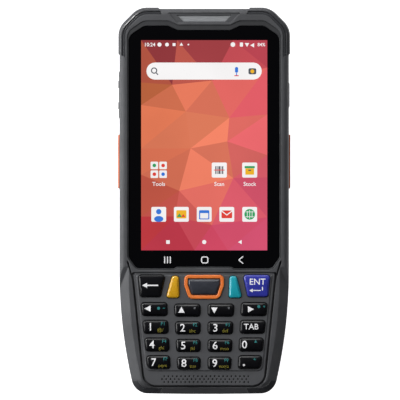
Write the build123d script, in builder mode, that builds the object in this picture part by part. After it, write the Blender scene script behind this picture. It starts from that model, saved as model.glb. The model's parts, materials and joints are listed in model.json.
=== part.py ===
# Rugged hand-held barcode terminal, lying on its back, keys and display up.
# Millimetres. Origin: middle of the rear rest face.
# +Z out of the display, +Y to the scan end, +X to the right.
import os
from math import hypot, sqrt

from build123d import *

# ---- display ----
active_width = 51.84  # 4.0 inch, 5:3
active_height = 86.4
bezel_side = 5.03  # black border of the glass round the lit area
bezel_top = 5.8
bezel_foot = 7.4
glass_t = 1.1
glass_gap = 0.05
glass_bevel = 0.2
glass_corner_wide = 6.3
glass_corner_high = 4.2
glass_corner_round = 4.0
glass_foot_wide = 3.2
glass_foot_high = 4.5
glass_foot_round = 2.6
dip_half = 10.7  # the glass dips under the earpiece
dip_slope = 4.1
dip_depth = 1.8
bridge_half = 11.3  # and steps up over the deck's bridge
bridge_slope = 1.1
bridge_rise = 0.7
trim_side = 0.6
trim_top = 2.2
trim_top_z = 21.1
trim_bevel = 0.2
panel_margin = 1.8
panel_tail = 2.2  # driver edge below the active area
panel_t = 1.7
panel_gap = 0.4

# ---- keypad rows ----
row_pitch = 7.27
row_count = 4
outer_key_height = 5.5
inner_key_height = 5.1
inner_key_drop = 0.4  # the inner keys sit a little lower
deck_head = 0.9  # deck above the function row
top_row_height = 9.1
row_gap = 2.25  # function row to the first row of the grid
deck_foot = 6.84  # last row to the deck's foot, with the sound holes
bridge_length = 1.8  # housing between glass and deck

# ---- outline ----
frame_side = 3.9  # housing beside the glass
frame_top = 7.2
frame_foot = 3.5
bumper_proud = 0.5  # how far the top bumpers stand out of the housing
lower_rows = outer_key_height + (row_count - 1) * row_pitch
deck_length = deck_head + top_row_height + row_gap + lower_rows + deck_foot
glass_length = bezel_top + active_height + bezel_foot
half_length = (bumper_proud + frame_top + glass_length + bridge_length + deck_length + frame_foot) / 2
glass_half = active_width / 2 + bezel_side
body_half_width = glass_half + frame_side
body_top_y = half_length - bumper_proud
glass_top_y = body_top_y - frame_top
glass_bottom_y = glass_top_y - glass_length
active_mid_y = glass_top_y - bezel_top - active_height / 2
deck_top_y = glass_bottom_y - bridge_length
deck_bottom_y = deck_top_y - deck_length
top_corner_cut = 8.0  # 45 degree cut at the two top corners
top_corner_round = 8.0
taper_start_y = deck_top_y + 0.6  # below this the grip narrows in a long arc
grip_taper = 6.35
bottom_corner_half = body_half_width - grip_taper
foot_crown = 0.35
bottom_corner_y = foot_crown - half_length
bottom_corner_round = 6.8

# ---- heights ----
split_z = 12.0  # top of the rear housing
gasket_t = 0.6
front_base_z = split_z + gasket_t
rail_top_z = 21.4  # top of the side rails
roof_under_z = 18.0  # underside of the front housing's roof
glass_seat_z = 19.8
deck_seat_z = 19.4
wall = 1.8
floor_t = 2.0
rear_round = 3.2
rail_round = 2.4
facet_height = 2.5  # the grip's rim slopes outwards below the glass
facet_width = 3.8
facet_start = 2.0  # the slope begins this far above the taper
facet_blend = 9.0  # and grows to its full depth over this length
end_wall = 3.0  # thicker wall behind the port and the charging pads
end_wall_half = 16.0
cut_over = 1.0  # how far a cut runs past the face it opens
gasket_out = 0.4  # the gasket's two sides, as shares of the wall
gasket_in = 0.8

# ---- corner bumpers ----
bumper_depth = 2.4  # band thickness seen from the front, inside the housing line
bumper_gap = 0.05
top_bumper_x = body_half_width - 17.45  # where the top bumpers end on the top edge
top_bumper_y = half_length - 20.5  # and on the sides
bottom_bumper_x = body_half_width - 17.55
bottom_bumper_y = 5.5 - half_length
bumper_slant = 1.4  # their ends lean back this far towards the corner
bumper_low_z = 0.9
bumper_high_z = 21.2
bumper_round = 1.8
bumper_low_round = 2.2
rib_inset = 1.15  # groove along the bumper's front face
rib_width = 0.5
rib_depth = 0.5

# ---- keypad deck ----
deck_inset = 1.75  # deck inside the glass at its top
deck_top_half = glass_half - deck_inset
deck_bottom_half = bottom_corner_half - 4.1
deck_top_round = 1.0
deck_foot_round = 5.0
deck_t = 1.6
groove = 0.7  # open groove round the sides of the deck
groove_top = 0.15
groove_lead = 3.0  # the groove runs up beside the glass this far
deck_ledge = 1.0
field_inset = 1.1  # raised key field
field_foot = 6.0  # its end above the deck's foot
field_rise = 0.3
field_round = 2.4
field_bevel = 0.25
field_z = deck_seat_z + deck_t + field_rise
deck_margin = 1.9  # deck side to the outer keys

# ---- keys ----
key_gap = 0.2  # all round, in the deck
key_top_z = 22.4
key_travel_room = 0.7
flange_under = 0.2  # flange top below the deck
flange_t = 0.7
flange_out = 0.6
flange_top_z = deck_seat_z - flange_under
flange_low_z = flange_top_z - flange_t
key_round = 1.3
key_edge = 0.6
top_row_y = deck_top_y - deck_head
first_row_y = top_row_y - top_row_height - row_gap - outer_key_height / 2
middle_gap = 3.2
column_gap = 3.0
last_row_foot_round = 2.4
corner_key_inner_top = 15.9
corner_key_inner_foot = 17.9
drop_tip_x = (10.4, 13.2)
drop_foot_x = (10.1, 15.7)
drop_extra = 0.4  # the drop keys and the scan key reach lower than the corner keys
drop_tip_round = 1.35
drop_foot_round = 1.1
ring_half = 8.2
ring_foot_half = 6.3
ring_knee = 4.3  # straight part of the ring's sides
ring_height = top_row_height + 0.8
ring_width = 1.5
ring_round = 1.9
ring_foot_round = 2.5
ring_knee_round = 3.0
ring_rise = 0.6
ring_sink = 1.1  # depth of the ring's pocket in the deck
ring_gap = 0.05
ring_edge = 0.4

# ---- keypad inside ----
mat_t = 0.6
nub_rise = 0.2
nub_r = 1.9
mat_inset = 2.0
mat_bottom_y = deck_bottom_y + 6.1
keypad_board_t = 0.8

# ---- sound ----
grille_pitch = 1.73
grille_columns = 21
grille_row_pitch = 1.2
grille_y = deck_bottom_y + 2.65
grille_hole = 0.42
speaker_half = 18.0
speaker_width = 3.6
speaker_t = 1.8
speaker_shift = 0.3  # towards the keys, clear of the end wall
sound_gap = 0.1  # receiver and loudspeaker to the face over them
slot_top_half = 11.2
slot_bottom_half = 8.6
slot_top_y = body_top_y - 2.8
slot_bottom_y = slot_top_y - 2.6
frame_top_half = 14.8
frame_bottom_half = 11.0
frame_rim = 1.0  # shallow frame above the slot
frame_sill = 0.6  # and below it
frame_depth = 0.4
mesh_t = 0.4
mesh_sink = 0.5
mesh_gap = 0.05
receiver_half = 6.0
receiver_height = 4.4
receiver_t = 2.6
module_round = 1.0

# ---- side controls ----
side_z = 15.3
side_height = 4.4
side_gap = 0.2
side_round = 1.0
side_edge = 0.25
side_flange_side = 0.8
side_flange_end = 0.3
side_flange_t = 1.0
side_flange_gap = 0.15
scan_button_y = half_length - 63.4
scan_button_length = 22.2
scan_button_proud = 0.6
rocker_y = half_length - 36.0
rocker_length = 19.1
rocker_proud = 0.3
rocker_nub = 0.25
rocker_nub_offset = 4.4
rocker_nub_length = 3.0
rocker_nub_width = 1.2
rocker_flange_gap = 0.65
power_length = 10.0
power_proud = 0.3
switch_board_x = body_half_width - 5.05
switch_board_t = 0.6
switch_play = 0.6  # switch tip to button at rest
rocker_play = 0.4
switch_r = 0.9
switch_offset = 6.0  # the two switches of a long button, from its middle
switch_board_end = 1.0  # board ends inside the button's ends
switch_board_side = 0.3

# ---- battery bay ----
door_low_z = 0.3
door_t = 2.2
door_half = bottom_corner_half - 1.0
door_bottom_y = 15.0 - half_length
door_gap = 0.3
hinge_pin_r = 0.8
hinge_pin_length = 1.6
hinge_pin_gap = 0.05
bay_wall = 1.2
door_bed = 1.2  # plastic left over the door's bed
pack_half = door_half - 2.5
pack_length = 68.0
pack_foot = 7.5  # door's edge to the pack
pack_top_y = door_bottom_y + pack_foot + pack_length
hinge_y = pack_top_y + 5.6
pack_t = 7.2
pack_gap = 0.3
pack_tilt_room = 0.7  # lets the pack's far corner swing out
door_screw_y = door_bottom_y + 3.5
door_screw_head_r = 2.8
door_screw_head_t = 0.9
door_screw_r = 1.5
door_screw_reach = 2.6
door_screw_gap = 0.15
door_screw_seat = 0.1  # under the head
door_screw_tip_room = 0.6
door_boss_gap = 0.35
coin_slot = 0.8
pack_round = 1.5
bay_roof_gap = 0.2
terminal_half = 6.0  # block of the battery contacts
terminal_height = 3.8
terminal_depth = 2.2
terminal_gap = 0.1

# ---- screws and inserts ----
screw_places = [
    (body_half_width - 5.65, half_length - 13.5),
    (body_half_width - 5.65, half_length - 49.0),
    (bottom_corner_half - 3.5, 7.6 - half_length),
]
screw_r = 1.2
screw_head_r = 2.0
screw_head_t = 1.4
screw_sink = 0.8  # head below the rear face
screw_gap = 0.1
screw_thread_gap = 0.05
screw_top_z = 16.4
screw_tip_room = 0.4
screw_socket_r = 0.9
rear_boss_r = 2.9
front_boss_r = 2.2
insert_places = [hinge_y + 9.4, 8.5 - half_length]
insert_r = 2.4
insert_bore_r = 1.25
insert_length = 6.0
insert_sink = 0.1
insert_boss_wall = 1.4
insert_roof = 1.1

# ---- grip grooves ----
side_groove_count = 8
side_groove_pitch = 4.2
side_groove_length = 1.6
side_groove_depth = 0.5
side_groove_low_z = 4.0
side_groove_high_z = 10.4
side_groove_y = taper_start_y - 21.0  # middle of the row
door_groove_count = 6
door_groove_pitch = 2.6
door_groove_half = 13.0
door_groove_width = 1.1
door_groove_depth = 0.4
door_groove_y = door_screw_y + 17.0

# ---- port end ----
port_z = 15.6
port_shell_half = 4.47
port_shell_height = 3.2
port_shell_length = 6.8
port_shell_t = 0.3
port_shell_round = 1.5
port_back_t = 0.8
port_tongue_half = 3.3
port_tongue_t = 0.7
port_tongue_short = 0.6  # tongue tip inside the mouth
port_feet = 6.0  # spacing of the solder feet
port_foot_width = 1.6
port_foot_length = 2.0
port_mouth_y = 2.5 - half_length
port_hole_gap = 0.3
cover_half = 12.3
cover_height = 5.2
cover_t = 1.3
cover_gap = 0.25
cover_face_y = 0.1 - half_length
cover_plug_depth = 0.8
cover_plug_gap = 0.3
notch_length = 5.0
notch_depth = 0.5
pad_count = 5
pad_pitch = 3.6
pad_r = 1.1
pad_z = 6.5
pad_gap = 0.05
pad_sink = 0.3

# ---- scan end and rear glass ----
pane_half = 12.0
pane_height = 7.2
pane_t = 1.0
pane_z = 6.8
pane_gap = 0.1
pane_lip = 1.3
pane_sink = 0.2
engine_half = 10.5
engine_length = 13.0
engine_height = 8.2
engine_gap = 0.3  # to the wall in front
engine_well_x = 5.0
engine_well_r = 2.4
engine_well_depth = 0.8
engine_sight = 2.6  # square well between the round ones
engine_sight_depth = 0.5
camera_x = -16.0
camera_y = half_length - 25.5
camera_r = 4.6
camera_hole_r = 3.6
camera_half = 4.5
camera_height = 5.2
camera_barrel_gap = 0.3
flash_x = -4.5
flash_r = 1.9
flash_hole_r = 1.3
lens_t = 0.8
lens_sink = 0.3
lens_gap = 0.05
motor_x = 14.0
motor_y = half_length - 35.5
motor_r = 5.0
motor_t = 2.7

# ---- chassis and board ----
chassis_half = body_half_width - 8.65
chassis_t = 1.0
chassis_top_y = half_length - 9.5
chassis_bottom_y = 10.5 - half_length
board_half = chassis_half - 2.2
board_t = 1.0
board_top_y = half_length - 19.5
board_bottom_y = 4.9 - half_length
board_lift = 0.6
shield_t = 1.9
# shields: middle, measured down from the board's top edge, and size
shield_places = [((-9, -18), (26, 28)), ((14, -20), (14, 30)), ((0, -54), (40, 32))]
post_r = 1.6
post_gap = 0.4
chassis_round = 3.0
chassis_neck_inset = 5.0  # the chassis is narrower at its foot
chassis_neck_y = 25.5 - half_length
upstand_t = 1.0
upstand_rise = 1.6  # above the middle of the side controls
scan_upstand = 14.0
scan_upstand_shift = -3.0
rocker_upstand = 12.0
standoff_inset = 2.5
standoff_y = (board_top_y - 10.0, board_top_y - 70.0)
foot_standoff_inset = 6.0
foot_standoff_y = 29.5 - half_length
keypad_post_half = deck_top_half - 4.7
keypad_post_y = deck_top_y - 6.4
board_step_y = deck_top_y + 1.6
board_overlap_y = deck_top_y + 9.6
board_narrow = 3.5  # the board is narrower below the step
board_round = 2.0

# ---- worked out ----
bay_roof_z = door_low_z + door_t + pack_gap + pack_t + bay_roof_gap
chassis_z = bay_roof_z + bay_wall
board_z = chassis_z + chassis_t + board_lift
keypad_board_z = flange_low_z - key_travel_room - nub_rise - mat_t - keypad_board_t
door_top_z = door_low_z + door_t
hinge_z = door_low_z + door_t / 2
bay_top_y = pack_top_y + pack_gap
bay_bottom_y = pack_top_y - pack_length - pack_tilt_room


def mirrored_pair(x, y):
    return [(x, y), (-x, y)]


# The side arc and the crowned foot, each as centre and radius,
# from the straight side and the corner between them.
taper_length = taper_start_y - bottom_corner_y
taper_width = body_half_width - bottom_corner_half
side_arc_radius = (taper_length**2 + taper_width**2) / (2 * taper_width)
side_arc_centre = (body_half_width - side_arc_radius, taper_start_y)
foot_arc_radius = (bottom_corner_half**2 + foot_crown**2) / (2 * foot_crown)
foot_arc_centre = (0, foot_arc_radius - half_length)


# Where the two arcs meet on the right side, both drawn inset into the plastic.
def foot_corner(inset):
    r1 = side_arc_radius - inset
    r2 = foot_arc_radius - inset
    dx = foot_arc_centre[0] - side_arc_centre[0]
    dy = foot_arc_centre[1] - side_arc_centre[1]
    apart = hypot(dx, dy)
    along = (r1**2 - r2**2 + apart**2) / (2 * apart)
    across = sqrt(r1**2 - along**2)
    x = side_arc_centre[0] + (along * dx + across * dy) / apart
    y = side_arc_centre[1] + (along * dy - across * dx) / apart
    return x, y


# Housing outline: cut top corners, straight sides, a long arc down to a rounded, slightly crowned foot.
def body_profile(inset=0.0):
    half = body_half_width - inset
    top = body_top_y - inset
    cut = top_corner_cut - (2 - sqrt(2)) * inset
    foot_x, foot_y = foot_corner(inset)
    with BuildSketch() as profile:
        with BuildLine():
            Polyline(
                (-half, taper_start_y),
                (-half, top - cut),
                (cut - half, top),
                (half - cut, top),
                (half, top - cut),
                (half, taper_start_y),
            )
            TangentArc((half, taper_start_y), (foot_x, foot_y), tangent=(0, -1))
            TangentArc((-half, taper_start_y), (-foot_x, foot_y), tangent=(0, -1))
            ThreePointArc((foot_x, foot_y), (0, inset - half_length), (-foot_x, foot_y))
        make_face()
        fillet(profile.vertices().group_by(Axis.Y)[0], bottom_corner_round - inset)
        fillet(profile.vertices().filter_by(lambda v: v.Y > top - cut - 0.1), top_corner_round - inset)
    return profile.sketch


# The area of the four corners that the bumpers take, grown by the wall behind them. Its ends lean back.
def corner_areas(grow=0.0):
    lean = bumper_slant / (bumper_depth + bumper_proud)
    over = bumper_depth + bumper_proud + cut_over
    side_x = body_half_width - bumper_depth
    top_y = body_top_y - bumper_depth
    foot_y = bumper_depth - half_length
    with BuildSketch() as areas:
        for side in (-1, 1):
            x = top_bumper_x - grow
            y = top_bumper_y - grow
            with BuildLine():
                Polyline(
                    (side * x, y),
                    (side * x, top_y),
                    (side * (x + lean * over), top_y + over),
                    (side * (side_x + over), top_y + over),
                    (side * (side_x + over), y + lean * over),
                    (side * side_x, y),
                    close=True,
                )
            make_face()
            x = bottom_bumper_x - grow
            y = bottom_bumper_y + grow
            with BuildLine():
                Polyline(
                    (side * x, y),
                    (side * x, foot_y),
                    (side * (x + lean * over), foot_y - over),
                    (side * (side_x + over), foot_y - over),
                    (side * (side_x + over), y),
                    close=True,
                )
            make_face()
    return areas.sketch


# Bumper band: what lies in the corner areas outside the housing's inner line.
def corner_bands(behind=0.0):
    with BuildSketch() as bands:
        add(corner_areas(behind))
        add(body_profile(bumper_depth + bumper_gap + behind), mode=Mode.SUBTRACT)
    return bands.sketch


# Housing wall line: the outline with the bumper bands taken off, drawn inset into the plastic.
def shell_profile(inset=0.0):
    with BuildSketch() as shell:
        add(body_profile(inset))
        add(corner_bands(inset), mode=Mode.SUBTRACT)
    return shell.sketch


def cavity_profile():
    with BuildSketch() as cavity:
        add(shell_profile(wall))
        with Locations((0, -half_length)):
            Rectangle(2 * end_wall_half, 2 * end_wall, mode=Mode.SUBTRACT)
    return cavity.sketch


# Display glass, or the trim round it when it is grown.
def glass_profile(grow=0.0):
    with BuildSketch() as glass:
        with BuildLine():
            Polyline(
                (0, glass_top_y - dip_depth),
                (dip_half, glass_top_y - dip_depth),
                (dip_half + dip_slope, glass_top_y),
                (glass_half - glass_corner_wide, glass_top_y),
                (glass_half, glass_top_y - glass_corner_high),
                (glass_half, glass_bottom_y + glass_foot_high),
                (glass_half - glass_foot_wide, glass_bottom_y),
                (bridge_half + bridge_slope, glass_bottom_y),
                (bridge_half, glass_bottom_y + bridge_rise),
                (0, glass_bottom_y + bridge_rise),
            )
            mirror(about=Plane.YZ)
        make_face()
        for end, radius in ((1, glass_corner_round), (-1, glass_foot_round)):
            corners = glass.vertices().filter_by(lambda v: abs(v.X) > dip_half + dip_slope + 1)
            fillet(corners.filter_by(lambda v: v.Y * end > 0), radius)
        if grow:
            offset(amount=grow)
    return glass.sketch


# The trim is even at the sides and foot and wider along the top.
def trim_profile(grow=0.0):
    with BuildSketch() as trim:
        add(glass_profile(trim_side + grow))
        with Locations((0, trim_top - trim_side)):
            add(glass_profile(trim_side + grow))
    return trim.sketch


def deck_side(y):
    share = (deck_top_y - y) / (deck_top_y - deck_bottom_y)
    return deck_top_half + (deck_bottom_half - deck_top_half) * share


def deck_profile(grow=0.0):
    with BuildSketch() as deck:
        with BuildLine():
            Polyline(
                (-deck_top_half, deck_top_y),
                (deck_top_half, deck_top_y),
                (deck_bottom_half, deck_bottom_y),
                (-deck_bottom_half, deck_bottom_y),
                close=True,
            )
        make_face()
        fillet(deck.vertices().group_by(Axis.Y)[0], deck_foot_round)
        fillet(deck.vertices().group_by(Axis.Y)[-1], deck_top_round)
        if grow:
            offset(amount=grow)
    return deck.sketch


# ---- key outlines ----
def rounded_polygon(points, radii, grow=0.0):
    with BuildSketch() as shape:
        with BuildLine():
            Polyline(*points, close=True)
        make_face()
        for point, radius in zip(points, radii):
            corner = shape.vertices().sort_by_distance((point[0], point[1], 0))[0]
            fillet(corner, radius)
        if grow:
            offset(amount=grow)
    return shape.sketch


# Rows 0 to 3 below the function row. Columns -2, -1, 1 and 2 count outwards from the middle.
def grid_key(column, row, grow=0.0):
    side = 1 if column > 0 else -1
    outer = abs(column) == 2
    height = outer_key_height if outer else inner_key_height
    middle = first_row_y - row * row_pitch - (0 if outer else inner_key_drop)
    points = []
    for y in (middle + height / 2, middle - height / 2):
        key_width = (deck_side(y) - deck_margin - middle_gap / 2 - column_gap) / 2
        near = middle_gap / 2 + (key_width + column_gap if outer else 0)
        points.append((side * near, y))
        points.append((side * (near + key_width), y))
    corners = [points[0], points[1], points[3], points[2]]
    foot = last_row_foot_round if outer and row == 3 else key_round
    return rounded_polygon(corners, [key_round, key_round, foot, key_round], grow)


def corner_key(side, grow=0.0):
    foot_y = top_row_y - top_row_height
    corners = [
        (side * corner_key_inner_top, top_row_y),
        (side * (deck_side(top_row_y) - deck_margin), top_row_y),
        (side * (deck_side(foot_y) - deck_margin), foot_y),
        (side * corner_key_inner_foot, foot_y),
    ]
    return rounded_polygon(corners, [key_round] * 4, grow)


def drop_key(side, grow=0.0):
    foot_y = top_row_y - top_row_height - drop_extra
    corners = [
        (side * drop_tip_x[0], top_row_y - drop_extra),
        (side * drop_tip_x[1], top_row_y - drop_extra),
        (side * drop_foot_x[1], foot_y),
        (side * drop_foot_x[0], foot_y),
    ]
    radii = 2 * [drop_tip_round] + 2 * [drop_foot_round]
    return rounded_polygon(corners, radii, grow)


def ring_profile(grow=0.0):
    foot_y = top_row_y - ring_height
    corners = [
        (-ring_half, top_row_y),
        (ring_half, top_row_y),
        (ring_half, top_row_y - ring_knee),
        (ring_foot_half, foot_y),
        (-ring_foot_half, foot_y),
        (-ring_half, top_row_y - ring_knee),
    ]
    foot = ring_foot_round
    radii = [ring_round, ring_round, ring_knee_round, foot, foot, ring_knee_round]
    return rounded_polygon(corners, radii, grow)


def scan_key(grow=0.0):
    return ring_profile(grow - ring_width - key_gap)


def key_shapes(grow=0.0):
    shapes = {
        "key_back": corner_key(-1, grow),
        "key_yellow": drop_key(-1, grow),
        "key_scan": scan_key(grow),
        "key_teal": drop_key(1, grow),
        "key_enter": corner_key(1, grow),
    }
    rows = [
        ("key_left", "key_up", "key_down", "key_right"),
        ("key_1", "key_2", "key_3", "key_tab"),
        ("key_4", "key_5", "key_6", "key_0"),
        ("key_7", "key_8", "key_9", "key_dot"),
    ]
    for row, names in enumerate(rows):
        for column, name in zip((-2, -1, 1, 2), names):
            shapes[name] = grid_key(column, row, grow)
    return shapes


def export(piece, name):
    piece.label = name
    export_step(piece, f"parts/{name}.step")


os.makedirs("parts", exist_ok=True)
key_faces = key_shapes()
window_faces = key_shapes(key_gap)
flange_faces = key_shapes(flange_out)
screw_points = [point for x, y in screw_places for point in mirrored_pair(x, y)]
side_inner_x = body_half_width - wall

# ================ housings ================
# What is cut off the rim of the grip: everything outside a frustum that stands on the outline.
with BuildPart() as grip_facet:
    facet_low_z = rail_top_z - facet_height
    facet_top_y = taper_start_y + facet_start
    with BuildSketch(Plane.XY.offset(facet_low_z)):
        add(body_profile(-cut_over))
        with Locations((0, facet_top_y + half_length)):
            Rectangle(4 * body_half_width, 2 * half_length, mode=Mode.SUBTRACT)
    extrude(amount=facet_height)
    with BuildSketch(Plane.XY.offset(facet_low_z)):
        add(body_profile())
    with BuildSketch(Plane.XY.offset(rail_top_z)):
        add(body_profile(facet_width))
    loft(ruled=True, mode=Mode.SUBTRACT)
    # a ramp leads from the level rails into the slope
    with BuildSketch(Plane.YZ):
        with BuildLine():
            Polyline(
                (facet_top_y, rail_top_z),
                (facet_top_y, facet_low_z),
                (facet_top_y - facet_blend, facet_low_z),
                close=True,
            )
        make_face()
    extrude(amount=2 * body_half_width, both=True, mode=Mode.SUBTRACT)

with BuildPart() as front_housing:
    with BuildSketch(Plane.XY.offset(front_base_z)):
        add(body_profile())
    extrude(amount=rail_top_z - front_base_z)
    fillet(front_housing.faces().sort_by(Axis.Z)[-1].edges(), rail_round)
    add(grip_facet.part, mode=Mode.SUBTRACT)
    with BuildSketch(Plane.XY.offset(front_base_z)):
        add(cavity_profile())
    extrude(amount=roof_under_z - front_base_z, mode=Mode.SUBTRACT)
    # screw bosses
    with BuildSketch(Plane.XY.offset(front_base_z)):
        with Locations(*screw_points):
            Circle(front_boss_r)
    extrude(amount=roof_under_z - front_base_z)
    with BuildSketch(Plane.XY.offset(front_base_z)):
        with Locations(*screw_points):
            Circle(screw_r + screw_thread_gap)
    extrude(amount=screw_top_z + screw_tip_room - front_base_z, mode=Mode.SUBTRACT)
    # bed of the glass and its trim, and the display window under it
    with BuildSketch(Plane.XY.offset(glass_seat_z)):
        add(trim_profile(glass_gap))
    extrude(amount=rail_top_z, mode=Mode.SUBTRACT)
    with BuildSketch(Plane.XY.offset(roof_under_z)):
        with Locations((0, active_mid_y - panel_tail / 2)):
            Rectangle(
                active_width + 2 * (panel_margin + panel_gap),
                active_height + 2 * (panel_margin + panel_gap) + panel_tail,
            )
    extrude(amount=rail_top_z, mode=Mode.SUBTRACT)
    # bed of the keypad deck, with an open groove round its sides
    with BuildSketch(Plane.XY.offset(deck_seat_z)):
        add(deck_profile(groove))
        with Locations((0, deck_top_y + groove_top + half_length / 2)):
            Rectangle(2 * half_length, half_length, mode=Mode.SUBTRACT)
        # the groove's upper ends run up beside the glass
        for side in (-1, 1):
            with BuildLine():
                Polyline(
                    (side * deck_side(deck_top_y - groove_lead), deck_top_y - groove_lead),
                    (side * (deck_side(deck_top_y - groove_lead) + groove), deck_top_y - groove_lead),
                    (side * (glass_half + trim_side + groove / 2), glass_bottom_y + groove_lead),
                    (side * (glass_half + trim_side - groove / 2), glass_bottom_y + groove_lead),
                    close=True,
                )
            make_face()
    extrude(amount=rail_top_z, mode=Mode.SUBTRACT)
    with BuildSketch(Plane.XY.offset(roof_under_z)):
        add(deck_profile(-deck_ledge))
        with Locations((0, deck_top_y - top_row_height / 2)):
            Rectangle(2 * (deck_side(deck_top_y - top_row_height / 2) - deck_ledge), top_row_height)
    extrude(amount=rail_top_z, mode=Mode.SUBTRACT)
    # earpiece: shallow frame and the sound slot
    with BuildSketch(Plane.XY.offset(rail_top_z - frame_depth)):
        with BuildLine():
            Polyline(
                (-frame_top_half, slot_top_y + frame_rim),
                (frame_top_half, slot_top_y + frame_rim),
                (frame_bottom_half, slot_bottom_y - frame_sill),
                (-frame_bottom_half, slot_bottom_y - frame_sill),
                close=True,
            )
        make_face()
    extrude(amount=rail_top_z, mode=Mode.SUBTRACT)
    with BuildSketch(Plane.XY.offset(roof_under_z)):
        with BuildLine():
            Polyline(
                (-slot_top_half, slot_top_y),
                (slot_top_half, slot_top_y),
                (slot_bottom_half, slot_bottom_y),
                (-slot_bottom_half, slot_bottom_y),
                close=True,
            )
        make_face()
    extrude(amount=rail_top_z, mode=Mode.SUBTRACT)
    # windows of the side controls
    for side, middle, length in (
        (-1, scan_button_y, scan_button_length),
        (1, scan_button_y, scan_button_length),
        (-1, rocker_y, rocker_length),
        (1, rocker_y, power_length),
    ):
        with BuildSketch(Plane.YZ.offset(side * (side_inner_x - cut_over))):
            with Locations((middle, side_z)):
                RectangleRounded(length + 2 * side_gap, side_height + 2 * side_gap, side_round + side_gap)
        extrude(amount=side * (wall + 2 * cut_over), mode=Mode.SUBTRACT)
    # port: hole, bed of the cover and a finger notch at each end of it
    with BuildSketch(Plane.XZ.offset(half_length - end_wall - cut_over)):
        with Locations((0, port_z)):
            RectangleRounded(
                2 * (port_shell_half + port_hole_gap),
                port_shell_height + 2 * port_hole_gap,
                port_shell_round,
            )
    extrude(amount=2 * end_wall, mode=Mode.SUBTRACT)
    with BuildSketch(Plane.XZ.offset(-cover_face_y - cover_t - cover_gap)):
        with Locations((0, port_z)):
            Rectangle(2 * (cover_half + cover_gap), cover_height + 2 * cover_gap)
    extrude(amount=end_wall, mode=Mode.SUBTRACT)
    with BuildSketch(Plane.XZ.offset(half_length - notch_depth)):
        for side in (-1, 1):
            with Locations((side * (cover_half + notch_length / 2), port_z)):
                Rectangle(notch_length + cut_over, cover_height + 2 * cover_gap)
    extrude(amount=end_wall, mode=Mode.SUBTRACT)
    # corners cut back for the bumpers
    with BuildSketch(Plane.XY):
        add(corner_bands())
    extrude(amount=2 * rail_top_z, mode=Mode.SUBTRACT)
export(front_housing.part, "front_housing")

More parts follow.
